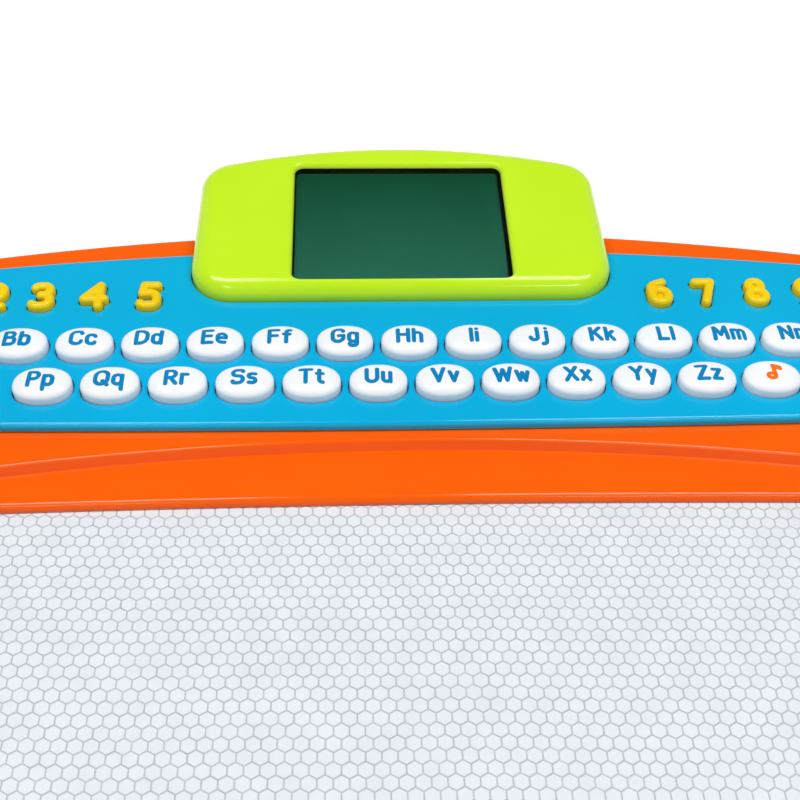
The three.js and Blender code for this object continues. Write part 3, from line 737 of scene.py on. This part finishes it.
def step_shell(foot):
    """All in front of the arched step, above foot: the wall slopes and its top edge is rounded."""
    lean = math.atan2(STEP_RUN, DECK_Z - BAND_Z)
    profile = [(STEP_RADIUS - 400, foot), (STEP_RADIUS - STEP_RUN - (BAND_Z - foot) * math.tan(lean), foot)]
    for k in range(7):
        angle = lean + (math.pi / 2 - lean) * k / 6
        profile.append((
            STEP_RADIUS + STEP_EDGE * (1 - math.cos(angle)),
            DECK_Z + 0.02 - STEP_EDGE * (1 - math.sin(angle)),
        ))
    profile += [(STEP_RADIUS + STEP_EDGE, DECK_Z + 4), (STEP_RADIUS - 400, DECK_Z + 4)]
    centre = STEP_APEX + 0.6 - STEP_RADIUS
    rings = []
    for share in np.linspace(1, -1, 121):
        c, s = math.cos(math.pi / 2 + STEP_REACH * share), math.sin(math.pi / 2 + STEP_REACH * share)
        rings.append(np.array([(r * c, centre + r * s, z) for r, z in profile]))
    return outward(loft(rings))


def outward(shell):
    """Turns every face round if the shell encloses a negative volume."""
    vertices, faces = shell
    volume = 0.0
    for face in faces:
        a = vertices[face[0]]
        for i in range(1, len(face) - 1):
            volume += np.dot(a, np.cross(vertices[face[i]], vertices[face[i + 1]]))
    return (vertices, faces) if volume > 0 else (vertices, [tuple(reversed(f)) for f in faces])


def box_shell(x0, x1, y0, y1, z0, z1, radius=0.4):
    return prism(box_circles(x0, x1, y0, y1, radius), 0, z0, z1)


def slab(x, y, half_x, half_y, z0, z1, radius=0.4):
    """A box round a middle x, y."""
    return box_shell(x - half_x, x + half_x, y - half_y, y + half_y, z0, z1, radius)


def counterbore(place, radius, base, bevel, depth):
    """A round recess cut from below, bevelled where it passes base."""
    profile = [(radius, 0), (radius, base), (radius - bevel, base + bevel), (radius - bevel, base + depth)]
    return turned(profile, 32, (*place, 0))


def prism(circles, inset, bottom, top):
    return block(circles, [(inset, bottom), (inset, top)])



def groove_shell():
    """The stylus's groove: round-bottomed, round-ended, with a soft upper edge."""
    x, front, rear, _, z = STYLUS
    reach = GROOVE_RADIUS
    profile = []
    for k in range(9):
        angle = math.radians(8 + 82 * k / 8)
        profile.append((reach * (1 - math.sin(angle)), z - reach * math.cos(angle)))
    profile += hole_profile(BAND_Z - 0.5, BAND_Z, 0.45, 4)[1:]
    return block(box_circles(x - reach, x + reach, front - 1, rear + 1, reach - 0.001), profile)


def build_top_shell():
    case = arched(CASE)
    skin_z = FILM_Z + GAP
    shell = new_object("case_top", block(case, wall_profile(PARTING_Z + GAP / 2, DECK_Z, 0.35, CASE_EDGE)))
    before_step = new_object("before_step", step_shell(BAND_Z - CASE_EDGE + 0.3))
    carve(before_step, [block(case, wall_profile(PARTING_Z, BAND_Z, 0, CASE_EDGE))])
    carve_with(shell, before_step)
    carve(shell, [prism(case, WALL, PARTING_Z - 1, skin_z)])
    x, front, rear, _, _ = STYLUS
    trough = box_shell(x - 7.4, x + 7.4, front - 3.4, rear + 3.4, 14.6, BAND_Z - 0.1, 2)
    carve(shell, [trough], "UNION")
    panel = arched(PANEL)
    carve(shell, [prism(panel, 0, skin_z - 0.5, DECK_Z - 2.3)])
    opening = new_object("opening", prism(panel, 3, FILM_Z, DECK_Z + 1))
    carve(opening, [prism(pod_circles(), -1, FILM_Z - 1, DECK_Z + 2)])
    carve_with(shell, opening)
    slot = block(box_circles(*ERASER_SLOT, 2.499), hole_profile(FILM_Z - 1, BAND_Z, 0.5, 4))
    window = block(arched(WINDOW), hole_profile(FILM_Z - 1, BAND_Z, 1.9, 8))
    cable = box_shell(*CABLE_HOLE, FILM_Z, DECK_Z + 1)
    carve(shell, [slot, window, groove_shell(), cable])
    finish_piece(shell, "case", [ORANGE], ["top_shell"], 30)


def build_base_shell():
    case = arched(CASE)
    inside = WALL + GAP
    shell = new_object("case_base", block(case, wall_profile(BASE_Z, PARTING_Z - GAP / 2, 3.0, 0.35)))
    carve(shell, [prism(case, inside, PARTING_Z - 3, PARTING_Z + 2)], "UNION")
    carve(shell, [prism(case, inside + 1.3, BASE_Z + WALL, PARTING_Z + 4)])
    x0, x1, y0, y1 = DOOR
    rim = box_shell(x0 - WALL, x1 + WALL, y0 - WALL, y1 + WALL, BASE_Z + 1, BASE_Z + 4.6)
    bosses = [turned([(3.6, BASE_Z + 1), (3.6, 12)], 24, (x, y, 0)) for x, y in SCREWS]
    carve(shell, [rim] + bosses, "UNION")
    cuts = [box_shell(*DOOR, 0, BASE_Z + 2.1, 0.9)]
    for row in range(-2, 3):
        cuts.append(slab(SPEAKER[0], SPEAKER[1] + 5 * row, 13 - 2 * abs(row), 1, 0, BASE_Z + 3, 0.99))
    cuts += [slab(0, y, 110.3, 4.8, 0, BASE_Z + 0.8, 3.3) for y in FOOT_Y]
    cuts += [counterbore(screw, 3.4, BASE_Z, 0.4, 1.4) for screw in SCREWS]
    carve(shell, cuts)
    screw_hole = turned([(1.5, 0), (1.5, 9)], 16, (*DOOR_SCREW, 0))
    carve(shell, [box_shell(*BATTERY_BAY, BASE_Z, BASE_Z + 8), screw_hole])
    finish_piece(shell, "case", [ORANGE], ["base_shell"], 30)


def build_screws():
    """Pan-head screws in the six counterbores of the base, with a cross recess."""
    head = [(1.8, 2.2), (2.5, 2.35), (2.7, 2.8), (2.7, 3.3), (1.3, 3.3), (1.3, 11)]
    screws = new_object("case_screws", merged([turned(head, 32, (x, y, 0)) for x, y in SCREWS]))
    for half_x, half_y in ((1.6, 0.33), (0.33, 1.6)):
        carve(screws, [slab(x, y, half_x, half_y, 1, 2.9, 0.3) for x, y in SCREWS])
    finish_piece(screws, "case", [STEEL])


def build_door():
    low, high = box_mm("battery_door")
    circles = box_circles(low[0], high[0], low[1], high[1], 0.8)
    door = new_object("battery_cover", block(circles, wall_profile(low[2], high[2], 0.35, 0, 4)))
    arrow = [(9 - k, 101 + 1.8 * k) for k in range(4)]
    cuts = [box_shell(-half, half, y, y + 0.9, 0, low[2] + 0.5, 0.42) for half, y in arrow]
    carve(door, cuts + [counterbore(DOOR_SCREW, 3.2, low[2], 0.3, 0.9)])
    carve(door, [turned([(1.5, 0), (1.5, 6)], 24, (*DOOR_SCREW, 0))])
    finish_piece(door, "case", [ORANGE], ["battery_door"])


def build_door_screw():
    low, high = (corner[2] for corner in box_mm("battery_door_screw"))
    head = [(1.7, low), (2.4, low + 0.12), (2.6, low + 0.35), (2.6, low + 0.7), (1.2, low + 0.7), (1.2, high)]
    screw = new_object("door_screw", turned(head, 32, (*DOOR_SCREW, 0)))
    for half_x, half_y in ((1.5, 0.3), (0.3, 1.5)):
        carve(screw, [slab(*DOOR_SCREW, half_x, half_y, 1, low + 0.45, 0.29)])
    finish_piece(screw, "case", [STEEL], ["battery_door_screw"])


def build_foot(node):
    low, high = box_mm(node)
    circles = box_circles(low[0], high[0], low[1], high[1], 3)
    foot = new_object(node + "_strip", block(circles, wall_profile(low[2], high[2], 0.5, 0, 5)))
    x, y = (low[:2] + high[:2]) / 2
    half = (high[0] - low[0]) / 2 - 4
    carve(foot, [slab(x, y + dy, half, 0.35, -1, 0.35, 0.34) for dy in (-2.4, 0, 2.4)])
    finish_piece(foot, "case", [FOOT_RUBBER], [node])


# --- keys and panel

# Number keys: a closed loop starts with o, and its middle is filled.
DIGITS = glyph_table("""
0 o4|-2.5,-4 2.5,-4 2.5,4 -2.5,4
1 0|-1.5,2.7 .6,4|.6,4 .6,-4
2 2.4|-2.3,2 -2.4,4 2.4,4 2.4,.2 -2.4,-4/0|-2.4,-4 2.6,-4
3 1.85|-2.4,3.3 -1.7,4 2,4 2,.3 -.4,.3/2.15|-.4,.3 2.4,.3 2.4,-4 -1.9,-4 -2.6,-3.3
4 0|1.4,4 -3.1,-1.3|-3.1,-1.3 2.9,-1.3|1.4,4 1.4,-4
5 0|2.2,4 -1.7,4|-1.7,4 -2,.8/2.4|-2,.8 2.4,1.4 2.4,-4 -1.4,-4 -2.4,-3.2
6 o2.4|-2.45,-4 2.45,-4 2.45,.9 -2.45,.9/2|1.4,4 -2.45,2.6 -2.45,-1.5
7 .2|-2.4,4 2.4,4 -.4,-4
8 o1.9|-1.9,.3 1.9,.3 1.9,4 -1.9,4/o2.2|-2.4,-4 2.4,-4 2.4,.3 -2.4,.3
9 o2.4|-2.45,-.9 2.45,-.9 2.45,4 -2.45,4/2|-1.4,-4 2.45,-2.6 2.45,1.5
""")
DIGIT_ORDER = "1234567890"
STROKE_STEP = 0.02  # each stroke lies this much lower than the one before, so that no two tops share a plane


def digit_places():
    places = {}
    for i, name in enumerate(DIGIT_ORDER):
        side = -1 if i < 5 else 1
        step = 4 - i if i < 5 else i - 5
        places[name] = side * (DIGIT_FIRST_X + DIGIT_PITCH * step) + DIGIT_SHIFT.get(name, 0)
    return places


def digit_paths(name, x):
    """(path, closed) for each stroke of a number key."""
    paths = []
    for points, radius, closed in read_strokes(DIGITS[name]):
        placed = [(x + px, DIGIT_Y + DIGIT_STRETCH * py) for px, py in points]
        paths.append((subdivided(rounded_path(placed, radius, closed, 9), 1.0, closed), closed))
    return paths


def fill_shell(path, bottom, top):
    return loft([level(path, bottom), level(path, top)])


def letter_places():
    return [
        (name, KEY_PITCH * (i - (len(names) - 1) / 2), y)
        for y, names in KEY_ROWS
        for i, name in enumerate(names)
    ]


def key_hole(x, y):
    half_width, half_depth = (half + HOLE_CLEARANCE for half in KEY_HALF)
    profile = hole_profile(PANEL_LOW[2] - 1, PANEL_Z, 0.35, 4)
    return loft([level(oval(x, y, half_width - inset, half_depth - inset), z) for inset, z in profile])


def inside_loop(loop, x, y):
    """Which points of a grid lie inside a closed line."""
    inside = np.zeros(x.shape, bool)
    for (ax, ay), (bx, by) in zip(loop, np.roll(loop, -1, 0)):
        if ay != by:
            inside ^= ((ay > y) != (by > y)) & (x < ax + (bx - ax) * (y - ay) / (by - ay))
    return inside


def outer_edge(paths, reach, step=0.16):
    """The line at a distance of reach round a set of strokes, with the middles of loops filled."""
    points = np.concatenate([subdivided(path, 0.08, closed) for path, closed in paths])
    low, high = points.min(0) - reach - 0.4, points.max(0) + reach + 0.4
    x, y = np.meshgrid(np.arange(low[0], high[0], step), np.arange(low[1], high[1], step), indexing="ij")
    away = np.sqrt(((x[..., None] - points[:, 0]) ** 2 + (y[..., None] - points[:, 1]) ** 2).min(-1)) - reach
    for path, closed in paths:
        if closed:
            away[inside_loop(path, x, y) & (away > 0)] = -0.5 * step
    following = {}
    corners = ((0, 0), (1, 0), (1, 1), (0, 1))
    for i, j in np.argwhere(np.ones((x.shape[0] - 1, x.shape[1] - 1))):
        values = [away[i + a, j + b] for a, b in corners]
        enters, leaves = [], []
        for k in range(4):
            here, there = values[k], values[(k + 1) % 4]
            if (here < 0) == (there < 0):
                continue
            a, b = corners[k], corners[(k + 1) % 4]
            p, q = (i + a[0], j + a[1]), (i + b[0], j + b[1])
            (enters if here < 0 else leaves).append((min(p, q), max(p, q)))
        following.update(zip(leaves, enters))
    loops = []
    while following:
        start, key = next(iter(following.items()))
        chain = [start]
        del following[start]
        while key in following:
            chain.append(key)
            key = following.pop(key)
        loops.append(chain)
    line = []
    for p, q in max(loops, key=len):
        share = away[p] / (away[p] - away[q])
        line.append((x[p] + (x[q] - x[p]) * share, y[p] + (y[q] - y[p]) * share))
    return np.array(line)


def digit_hole(name, x):
    """A clean cutter for a number key's opening."""
    line = outer_edge(digit_paths(name, x), DIGIT_HALF + HOLE_CLEARANCE)
    return outward(fill_shell(line, PANEL_LOW[2] - 1, PANEL_Z + 1))


def build_panel():
    circles = arched(PANEL)
    panel = new_object("key_panel", block(circles, wall_profile(PANEL_LOW[2], PANEL_Z, 0.2, PANEL_EDGE)))
    notch = [(inset - HOLE_CLEARANCE, z) for inset, z in hole_profile(PANEL_LOW[2] - 1, PANEL_Z, 0.3, 4)]
    carve(panel, [block(pod_circles(), notch)])
    holes = [key_hole(x, y) for _, x, y in letter_places()]
    x, y, travel, knob, _ = SWITCH
    half = knob / 2 + 0.4
    slot = box_circles(x - half, x + travel + half, y - half, y + half, 0.8)
    holes.append(block(slot, hole_profile(PANEL_LOW[2] - 1, PANEL_Z, 0.3, 4)))
    carve(panel, holes)
    carve(panel, [digit_hole(name, x) for name, x in digit_places().items()])
    finish_piece(panel, "case", [BLUE], ["keyboard_panel"], 30)


def key_dome(x, y):
    """Height of a key's top at points round its middle at x, y."""

    def height(px, py):
        u, v = np.abs(px - x) / KEY_HALF[0], np.abs(py - y) / KEY_HALF[1]
        out = np.minimum((u**KEY_POWER + v**KEY_POWER) ** (1 / KEY_POWER), 1.0)
        return KEY_RIM_Z + (KEY_TOP_Z - KEY_RIM_Z) * (1 - out**DOME_POWER) ** (1 / DOME_POWER)

    return height


def key_shell(x, y):
    """A key: a flange under the panel, a straight wall, then rings that shrink over the domed top."""
    half_width, half_depth = KEY_HALF
    flange = oval(x, y, half_width + 1, (half_width + 1) * half_depth / half_width)
    wall = oval(x, y, half_width, half_depth)
    rings = [level(flange, z) for z in FLANGE_Z] + [level(wall, z) for z in (FLANGE_Z[1], KEY_RIM_Z - 0.6)]
    for share in DOME_SHARES:
        z = KEY_RIM_Z + (KEY_TOP_Z - KEY_RIM_Z) * (1 - share**DOME_POWER) ** (1 / DOME_POWER)
        rings.append(level(oval(x, y, half_width * share, half_depth * share), z))
    return loft(rings)


def build_letter_key(name, x, y):
    key = new_object(f"cap_{name}", key_shell(x, y))
    finish_piece(key, f"key_{name}", [KEY_WHITE], [f"key_{name}"], 40, False)
    legend = new_object(f"legend_{name}", legend_shell(name, x, y, key_dome(x, y)))
    ink = ORANGE_INK if name == "music" else BLUE_INK
    finish_piece(legend, f"key_{name}", [ink], (), 40, False)


def build_digit_key(name, x):
    low, high = FLANGE_Z
    edge = rolled(DIGIT_TOP, -DIGIT_EDGE, DIGIT_EDGE, 6, DIGIT_HALF)
    profile = [(0, high - 0.3), (DIGIT_HALF, high - 0.3), *edge, (0, DIGIT_TOP)]
    shells = [slab(x, DIGIT_Y, 4.9, 6, low, high, 3)]
    for i, (path, closed) in enumerate(digit_paths(name, x)):
        lower = STROKE_STEP * i
        shells.append(bar(path, closed, [(half, z - lower) for half, z in profile]))
        if closed:
            shells.append(fill_shell(path, high - 0.3, DIGIT_FILL))
    key = new_object(f"number_{name}", merged(shells))
    finish_piece(key, f"digit_{name}", [YELLOW], [f"digit_{name}"], 40, False)


def build_switch():
    x, y, _, knob, top = SWITCH
    low, high = FLANGE_Z
    half = knob / 2
    circles = box_circles(x - half, x + half, y - half, y + half, 0.7)
    switch = new_object("switch_knob", block(circles, wall_profile(high - 0.3, top, 0, 0.6, 5)))
    grooves = (-1.2, -0.4, 0.4, 1.2)
    carve(switch, [slab(x + dx, y, 0.2, 5, top - 0.45, top + 2, 0.19) for dx in grooves])
    carve(switch, [slab(x, y, 7, 4, low, high)], "UNION")
    finish_piece(switch, "power_switch", [KEY_WHITE], ["power_switch"])


# --- screen housing


def pod_slope(y):
    """Height of the housing's sloping top above its front edge."""
    return (y - POD_FRONT) * math.tan(POD_TILT)


def build_housing():
    circles = pod_circles()
    low = POD_LOW[2]
    run, drop = POD_ROLL
    profile = [(0.25, low), (0.0, low + 0.25), *rolled(POD_TOP_FRONT, run, drop, 14)]
    housing = new_object("housing", block(circles, profile, pod_slope, 2))
    inner = [(WALL, low - 1), *rolled(POD_TOP_FRONT - POD_SKIN, run - 1, drop - 1, 6, WALL)]
    carve(housing, [block(circles, inner, pod_slope, 1)])
    opening = [(0.0, POD_TOP_FRONT - 5), *hole_profile(0, POD_TOP_FRONT, LCD_EDGE, 8)[1:]]
    carve(housing, [block(box_circles(*LCD_OPENING), opening, pod_slope, 0)])
    finish_piece(housing, "case", [GREEN], ["screen_housing"], 30)


def tilted(obj, drop):
    """Moves an object made round the origin to under the screen opening, drop below the housing's top."""
    along = (LCD_OPENING[2] + LCD_OPENING[3]) / 2 - POD_FRONT
    y = POD_FRONT + along + drop * math.sin(POD_TILT)
    z = POD_TOP_FRONT + along * math.tan(POD_TILT) - drop * math.cos(POD_TILT)
    obj.data.transform(Matrix.Translation(Vector((POD_X, y, z)) * MM) @ Matrix.Rotation(POD_TILT, 4, "X"))
    return obj


def tilted_plate(name, width, depth, thickness, drop, edge):
    """A plate parallel to the housing's top, with its upper face drop below it."""
    circles = box_circles(-width / 2, width / 2, -depth / 2, depth / 2, 1.0)
    return tilted(new_object(name, block(circles, wall_profile(-thickness, 0, edge, edge, 3))), drop)


def build_display():
    _, _, y0, y1, _ = LCD_OPENING
    half = (y1 - y0) / 2
    window = tilted_plate("clear_window", 74, 56, 1.2, POD_SKIN + GAP, 0.15)
    finish_piece(window, "case", [CLEAR], ["screen_window"])
    glass = tilted_plate("display_glass", 71, 54, 1.6, POD_SKIN + GAP + 1.6, 0.1)
    finish_piece(glass, "case", [display(y0, y1)], ["lcd_glass"])
    mask = new_object("display_mask", slab(0, 0, 36.9, 27.8, -0.2, 0, 1))
    carve(mask, [box_shell(-33.7, 33.1, -half - 0.1, half - 1.0, -1, 1, 1.2)])
    finish_piece(tilted(mask, POD_SKIN + GAP + 1.35), "case", [MASK_INK])


def build_rear_cover():
    low, high = box_mm("screen_rear_cover")
    profile = [(inset + WALL + GAP, z) for inset, z in wall_profile(low[2], high[2], 0.3, 0.3, 3)]
    cover = new_object("housing_cover", block(pod_circles(), profile))
    carve(cover, [prism(arched(CASE), -1, low[2] - 1, high[2] + 1)])
    grooves = []
    for x in range(-40, 41, 8):
        rear = 156 - abs(x) / 12
        grooves.append(box_shell(POD_X + x - 0.6, POD_X + x + 0.6, 141, rear, low[2] - 1, low[2] + 0.4, 0.5))
    carve(cover, grooves)
    finish_piece(cover, "case", [GREEN], ["screen_rear_cover"])


# --- drawing board

CELL_PITCH = 3.72
CELL_LINE = 0.37
CELL_RISE = 0.04
CELL_TURN = math.radians(-1.1)


def cell_centres():
    """Honeycomb centres over the film: rows along X, turned and bent a little, as a pressed sheet is."""
    row = CELL_PITCH * math.sqrt(3) / 2
    c, s = math.cos(CELL_TURN), math.sin(CELL_TURN)
    middle = (FILM_LOW[1] + FILM_HIGH[1]) / 2
    centres = []
    for j in range(-30, 31):
        for i in range(-42, 43):
            x, y = (i + 0.5 * (j % 2)) * CELL_PITCH, j * row
            x, y = c * x - s * y, s * x + c * y + middle
            bend = 0.3 * math.sin(x / 27 + 1.3) + 0.12 * math.sin(x / 9)
            centres.append((x + 0.35 * math.sin(y / 19 + x / 60), y + bend))
    return np.array(centres)


def held_on_film(points):
    """Moves points that lie beyond the film's straight or arched edges back onto it."""
    half_width, (rear, radius, _), (front, _, _) = WINDOW
    reach = FILM_LAP - 0.3
    bend = points[:, 0] ** 2 / (2 * radius)
    x = np.clip(points[:, 0], -half_width - reach, half_width + reach)
    y = np.clip(points[:, 1], front - reach + bend, rear + reach - bend)
    return np.column_stack([x, y])


def build_film():
    shape = arched(WINDOW)
    plate = block([(x, y, r + FILM_LAP) for x, y, r in shape],
                  wall_profile(FILM_LOW[2], FILM_Z - CELL_RISE, 0.2, 0, 3))
    centres = cell_centres()
    edge = outline_round([(x, y, r + FILM_LAP - 0.4) for x, y, r in shape], 0, 0.1)
    centres = np.array([p for p in centres if point_inside(edge, p)])
    angle = np.radians([30, 90, 150, 210, 270, 330])
    ring = np.stack([np.cos(angle), np.sin(angle)], -1)
    reach = CELL_PITCH / math.sqrt(3) - CELL_LINE / math.sqrt(3)
    low = centres[:, None] + ring * reach
    high = centres[:, None] + ring * (reach - 0.06)
    count = len(centres)
    points = held_on_film(np.concatenate([low, high], 1).reshape(-1, 2))
    heights = np.tile([FILM_Z - CELL_RISE - 0.02] * 6 + [FILM_Z] * 6, count)
    faces = []
    for k in range(count):
        a = 12 * k
        faces += [(a + j, a + (j + 1) % 6, a + 6 + (j + 1) % 6, a + 6 + j) for j in range(6)]
        faces.append(tuple(range(a + 6, a + 12)))
    film = new_object("drawing_film", merged([plate, (np.column_stack([points, heights]), faces)]))
    indices = [1] * len(plate[1]) + [0] * (7 * count)
    film.data.polygons.foreach_set("material_index", indices)
    finish_piece(film, "case", [film_cell(), FILM_LINE], ["drawing_screen"], 20, False)


def point_inside(outline, point):
    x, y = outline[:, 0], outline[:, 1]
    nx, ny = np.roll(x, -1), np.roll(y, -1)
    return bool(np.all((nx - x) * (point[1] - y) - (ny - y) * (point[0] - x) > 0))


def build_knob():
    """Eraser knob: a plinth, a ribbed grip and a soft edge all round."""
    (x0, y0, bottom), (x1, y1, top) = KNOB_LOW, KNOB_HIGH
    x, y = (x0 + x1) / 2, (y0 + y1) / 2
    foot = block(box_circles(x0, x1, y0, y1, 5), wall_profile(bottom, top - 2, 0.3, 1.2, 6))
    knob = new_object("eraser_grip", foot)
    grip = box_circles(x0 + 2, x1 - 2, y0 + 2, y1 - 2, 4)
    carve(knob, [block(grip, wall_profile(bottom + 1, top, 0, 1.2, 6))], "UNION")
    reach = (y1 - y0) / 2 - 2.9
    cuts = [slab(x + dx, y, 0.45, reach, top - 0.7, top + 2, 0.44) for dx in range(-6, 7, 2)]
    cuts.append(slab(x, y, 4.3, 2.2, bottom - 1, bottom + 2.3))
    carve(knob, cuts)
    finish_piece(knob, "eraser", [BLUE], ["eraser_knob"])


def build_stylus():
    x, front, rear, radius, z = STYLUS
    length = rear - front
    body = [(2.6, 9.3), (3.2, 9.4), (3.5, 9.9), (4.2, 16), (4.5, 26), (radius, 40)]
    body += [(radius - 0.25 * (1 - k % 2), 44 + k) for k in range(9)]
    body += [(radius, length - 6), (radius - 0.25, length - 4), (radius - 0.9, length - 2)]
    body += [(2.9, length - 0.5), (1.8, length)]
    stylus = new_object("pen_body", outward(turned(body, 48, (x, front, z), "Y")))
    finish_piece(stylus, "stylus", [GREEN], ["stylus_body"], 34)
    tip = [(1.3, 1), (1.8, 1.15), (2.1, 1.6), (2.6, 2.4), (2.6, 9)]
    point = new_object("pen_tip", outward(turned(tip, 40, (x, front, z), "Y")))
    finish_piece(point, "stylus", [BLACK], ["stylus_tip"], 34)


# --- studio


def paint_inner_nodes():
    looks = {"main_board": circuit_board(), "key_mat": MAT_RUBBER, "speaker": BLACK, "eraser_bar": MAGNET}
    looks.update(dict.fromkeys(("battery_1", "battery_2", "battery_3"), cell_wrap()))
    for node, material in looks.items():
        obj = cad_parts[node]
        obj.data.materials.clear()
        obj.data.materials.append(material)


def add_floor():
    glow = {"Specular IOR Level": 0.1, "Emission Color": (1, 1, 1, 1), "Emission Strength": 0.25}
    paper = speckled("floor_paper", ((252, 252, 252), (255, 255, 255)), (3, 3), (30, 0.85, 0.95), None, glow)
    corners = np.array([(-1, -1, 0), (1, -1, 0), (1, 1, 0), (-1, 1, 0)])
    floor = new_object("floor", (FLOOR_HALF * corners, [(0, 1, 2, 3)]))
    floor.data.materials.append(paper)


def add_world(high, low):
    """White all round: low is the strength near the horizon, high is that of the sky above it."""
    world = bpy.data.worlds.new("studio")
    world.use_nodes = True
    tree = world.node_tree
    strength = ranged(tree, axis_of(tree, "Z", "Generated"), low, high, (0.3, 0.6))
    put(tree, tree.nodes["Background"], {"Color": (1, 1, 1, 1), "Strength": strength})
    bpy.context.scene.world = world


def add_light(name, place, target, size, power):
    """An area light. Place, target and size are in metres, and size is (width, height)."""
    light = bpy.data.lights.new(name, "AREA")
    light.shape = "RECTANGLE"
    light.size, light.size_y = size
    light.energy = power
    obj = bpy.data.objects.new(name, light)
    obj.location = place
    obj.rotation_euler = (Vector(target) - Vector(place)).to_track_quat("-Z", "Y").to_euler()
    bpy.context.scene.collection.objects.link(obj)


def add_camera():
    """Looks down on the keys from the front, a little from the left, turned slightly about its own axis."""
    yaw, pitch, roll = (math.radians(angle) for angle in CAMERA_TURN)
    forward = Vector((math.sin(yaw) * math.cos(pitch), math.cos(yaw) * math.cos(pitch), -math.sin(pitch)))
    level_right = Vector((math.cos(yaw), -math.sin(yaw), 0))
    level_up = level_right.cross(forward)
    right = level_right * math.cos(roll) + level_up * math.sin(roll)
    up = level_up * math.cos(roll) - level_right * math.sin(roll)
    data = bpy.data.cameras.new("camera")
    data.sensor_width = 36
    data.lens = CAMERA_LENS
    camera = bpy.data.objects.new("camera", data)
    turn = Matrix((right, up, -forward)).transposed().to_4x4()
    camera.matrix_world = Matrix.Translation(Vector(CAMERA_PLACE)) @ turn
    bpy.context.scene.collection.objects.link(camera)
    bpy.context.scene.camera = camera


def add_studio():
    add_floor()
    add_world(0.14, 0.55)
    for side, x in (("left", -0.42), ("right", 0.42)):
        add_light(f"{side}_overhead", (x, 0.1, 1.0), (x, 0.1, 0), (0.62, 0.24), 5.0)
        add_light(f"{side}_front", (x, -0.7, 1.0), (0, 0.05, 0), (0.42, 0.07), 1.4)
    scene = bpy.context.scene
    scene.view_settings.view_transform = "Standard"
    scene.view_settings.look = "None"


# --- everything

add_camera()
build_top_shell()
build_base_shell()
build_screws()
build_door()
build_door_screw()
build_foot("foot_front")
build_foot("foot_rear")
build_panel()
for key_place in letter_places():
    build_letter_key(*key_place)
for digit_place in digit_places().items():
    build_digit_key(*digit_place)
build_switch()
build_housing()
build_display()
build_rear_cover()
build_film()
build_knob()
build_stylus()
paint_inner_nodes()
add_studio()
